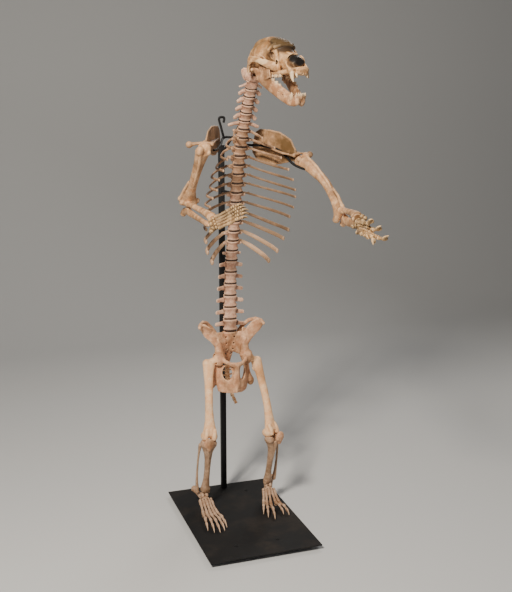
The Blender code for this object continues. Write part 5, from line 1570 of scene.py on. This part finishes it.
# %% Build the base
PLATE_HALF_WIDTH, PLATE_HALF_DEPTH = 0.3, 0.45
PLATE_LOW, PLATE_TOP = 0.025, 0.031
FRAME_HALF_WIDTH, FRAME_HALF_DEPTH = 0.25, 0.4
TUBE_SIDE = 0.0247
BOLTS = ((-0.128, -0.32), (0.102, -0.32), (-0.128, 0.32), (0.14, 0.32))
BOLT_HEAD = ((-0.001, 0.0095), (0.0012, 0.0095), (0.0034, 0.0078), (0.0048, 0.004))


def bevelled_block(name, low, high, width, steps=3):
    """A block between two corners, with rounded edges."""
    low, high = Vector(low), Vector(high)
    piece = open_piece(name)
    middle = (low + high) / 2
    bpy.ops.mesh.primitive_cube_add(size=1.0, location=middle)
    stretch(tuple(high - low), Matrix.Identity(3), middle)
    bpy.ops.mesh.bevel(offset=width, segments=steps, affect="EDGES")
    bpy.ops.object.mode_set(mode="OBJECT")
    return piece


plate = bevelled_block("stand_plate", (-PLATE_HALF_WIDTH, -PLATE_HALF_DEPTH, PLATE_LOW),
                       (PLATE_HALF_WIDTH, PLATE_HALF_DEPTH, PLATE_TOP), 0.0014)
finish_piece(plate, plate_steel, "black_steel", "stand_base_plate")
inner = FRAME_HALF_DEPTH - TUBE_SIDE
tubes = []
for west, south, east, north in (
        (-FRAME_HALF_WIDTH, -FRAME_HALF_DEPTH, FRAME_HALF_WIDTH, -inner),
        (-FRAME_HALF_WIDTH, inner, FRAME_HALF_WIDTH, FRAME_HALF_DEPTH),
        (-FRAME_HALF_WIDTH, -inner, -FRAME_HALF_WIDTH + TUBE_SIDE, inner),
        (FRAME_HALF_WIDTH - TUBE_SIDE, -inner, FRAME_HALF_WIDTH, inner),
        (-TUBE_SIDE / 2, -inner, TUBE_SIDE / 2, inner)):
    tubes.append(bevelled_block("tube_%d" % len(tubes), (west, south, 0), (east, north, TUBE_SIDE), 0.002))
base_frame = join(tubes, "stand_frame")
finish_piece(base_frame, black_steel, "black_steel", "stand_base_frame")
bolts = open_piece("stand_bolts")
for x, y in BOLTS:
    loft(WORLD, [(x, y, PLATE_TOP + rise, half, half) for rise, half in BOLT_HEAD], sides=20, dome=0.05)
close_shapes()
finish_piece(bolts, black_steel, "black_steel")

# %% [markdown]
# ## The pole, the yoke and the brackets
# A square tube with a flat cap stands on the plate behind the back. From its top a bent rod reaches under
# the shoulders like a yoke, with a branch towards each arm and a small hook beside the backbone. Short
# pegs hold the spine at three heights. Bent rods are lofts with many hoops, so that their bends stay
# round. A curve with a bevel would do as well, but wouldn't melt together with the welds.

# %% Build the steelwork behind the bear
POLE_X, POLE_Y, POLE_SIDE, POLE_TOP = 0.03, 0.406, 0.03, 2.05
ROD_RADIUS = 0.0065
YOKE = (-0.018, 0.2, 2.093)
YOKE_MIDDLE = (0.03, 0.202, 2.094)
HOOK = ((-0.034, 0.2, 2.152), (-0.043, 0.2, 2.193), (-0.016, 0.2, 2.197), (-0.018, 0.2, 2.172))
ROD_RIGHT = ((-0.058, 0.12, 2.062), (-0.108, 0.02, 2.038), (-0.15, -0.06, 2.034))
ROD_LEFT = ((0.086, 0.172, 2.058), (0.148, 0.06, 2.052), (0.206, -0.008, 2.034), (0.23, -0.066, 2.004),
            (0.242, -0.113, 1.972), (0.262, -0.15, 1.952), (0.286, -0.19, 1.94))
BRACKET_HEIGHTS = (1.0, 1.44, 1.8)
BRACKET_REACH = (0.262, 0.29, 0.22)
half_side = POLE_SIDE / 2
pole = join([bevelled_block(name, (POLE_X - half, POLE_Y - half, low), (POLE_X + half, POLE_Y + half, high), edge)
             for name, half, low, high, edge in (
                 ("stand_pole_tube", half_side, PLATE_TOP + 0.0003, POLE_TOP - 0.004, 0.0026),
                 ("pole_cap", half_side + 0.0012, POLE_TOP - 0.0042, POLE_TOP, 0.0012))], "stand_pole_tube")
finish_piece(pole, black_steel, "black_steel", "stand_pole")


def bent_rod(route, radius=ROD_RADIUS):
    """A round steel rod through the points of its route, with soft bends."""
    line = smooth_line(route, 5)
    loft(WORLD, [(*point, radius, radius) for point in line], across=(0.31, 0.23, 1.0), sides=14, dome=0.3)


pole_face = POLE_Y - half_side - 0.0003 - ROD_RADIUS * 0.55
yoke = open_piece("stand_yoke_rods")
bent_rod((YOKE_MIDDLE, YOKE, *ROD_RIGHT))
bent_rod((YOKE, *HOOK))
bent_rod((YOKE_MIDDLE, *ROD_LEFT))
bent_rod(((POLE_X, pole_face, POLE_TOP - 0.03), (POLE_X, pole_face - 0.03, POLE_TOP - 0.028), YOKE_MIDDLE))
for weld in (YOKE_MIDDLE, YOKE):
    lump(WORLD, weld, (ROD_RADIUS * 1.25,) * 3, fine=2)
melt(yoke, cell=0.0016, rounds=2)
finish_piece(yoke, black_steel, "black_steel", "stand_yoke")
for number, (height, reach) in enumerate(zip(BRACKET_HEIGHTS, BRACKET_REACH)):
    bracket = open_piece("stand_peg_%d" % (number + 1))
    loft(WORLD, [(POLE_X, pole_face + (reach - pole_face) * share, height, ROD_RADIUS, ROD_RADIUS)
                 for share in (0, 0.2, 0.4, 0.6, 0.8, 1.0)], sides=16, dome=0.3)
    loft(WORLD, ((POLE_X, pole_face + 0.004, height, 0.0105, 0.0105),
                 (POLE_X, pole_face - 0.004, height, 0.008, 0.008)), sides=16, dome=0.1)
    melt(bracket, cell=0.0014, rounds=2)
    finish_piece(bracket, black_steel, "black_steel", "stand_bracket_%d" % (number + 1))

# %% Measure and finish
new_low, new_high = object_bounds()
for kind, low, high in (("solid", cad_low, cad_high), ("finished", new_low, new_high)):
    print(kind, "model's box", [round(side, 3) for side in high - low])
total = sum(len(face.vertices) - 2 for piece in finished for face in piece.data.polygons)
print("pieces", len(finished), "triangles", total)
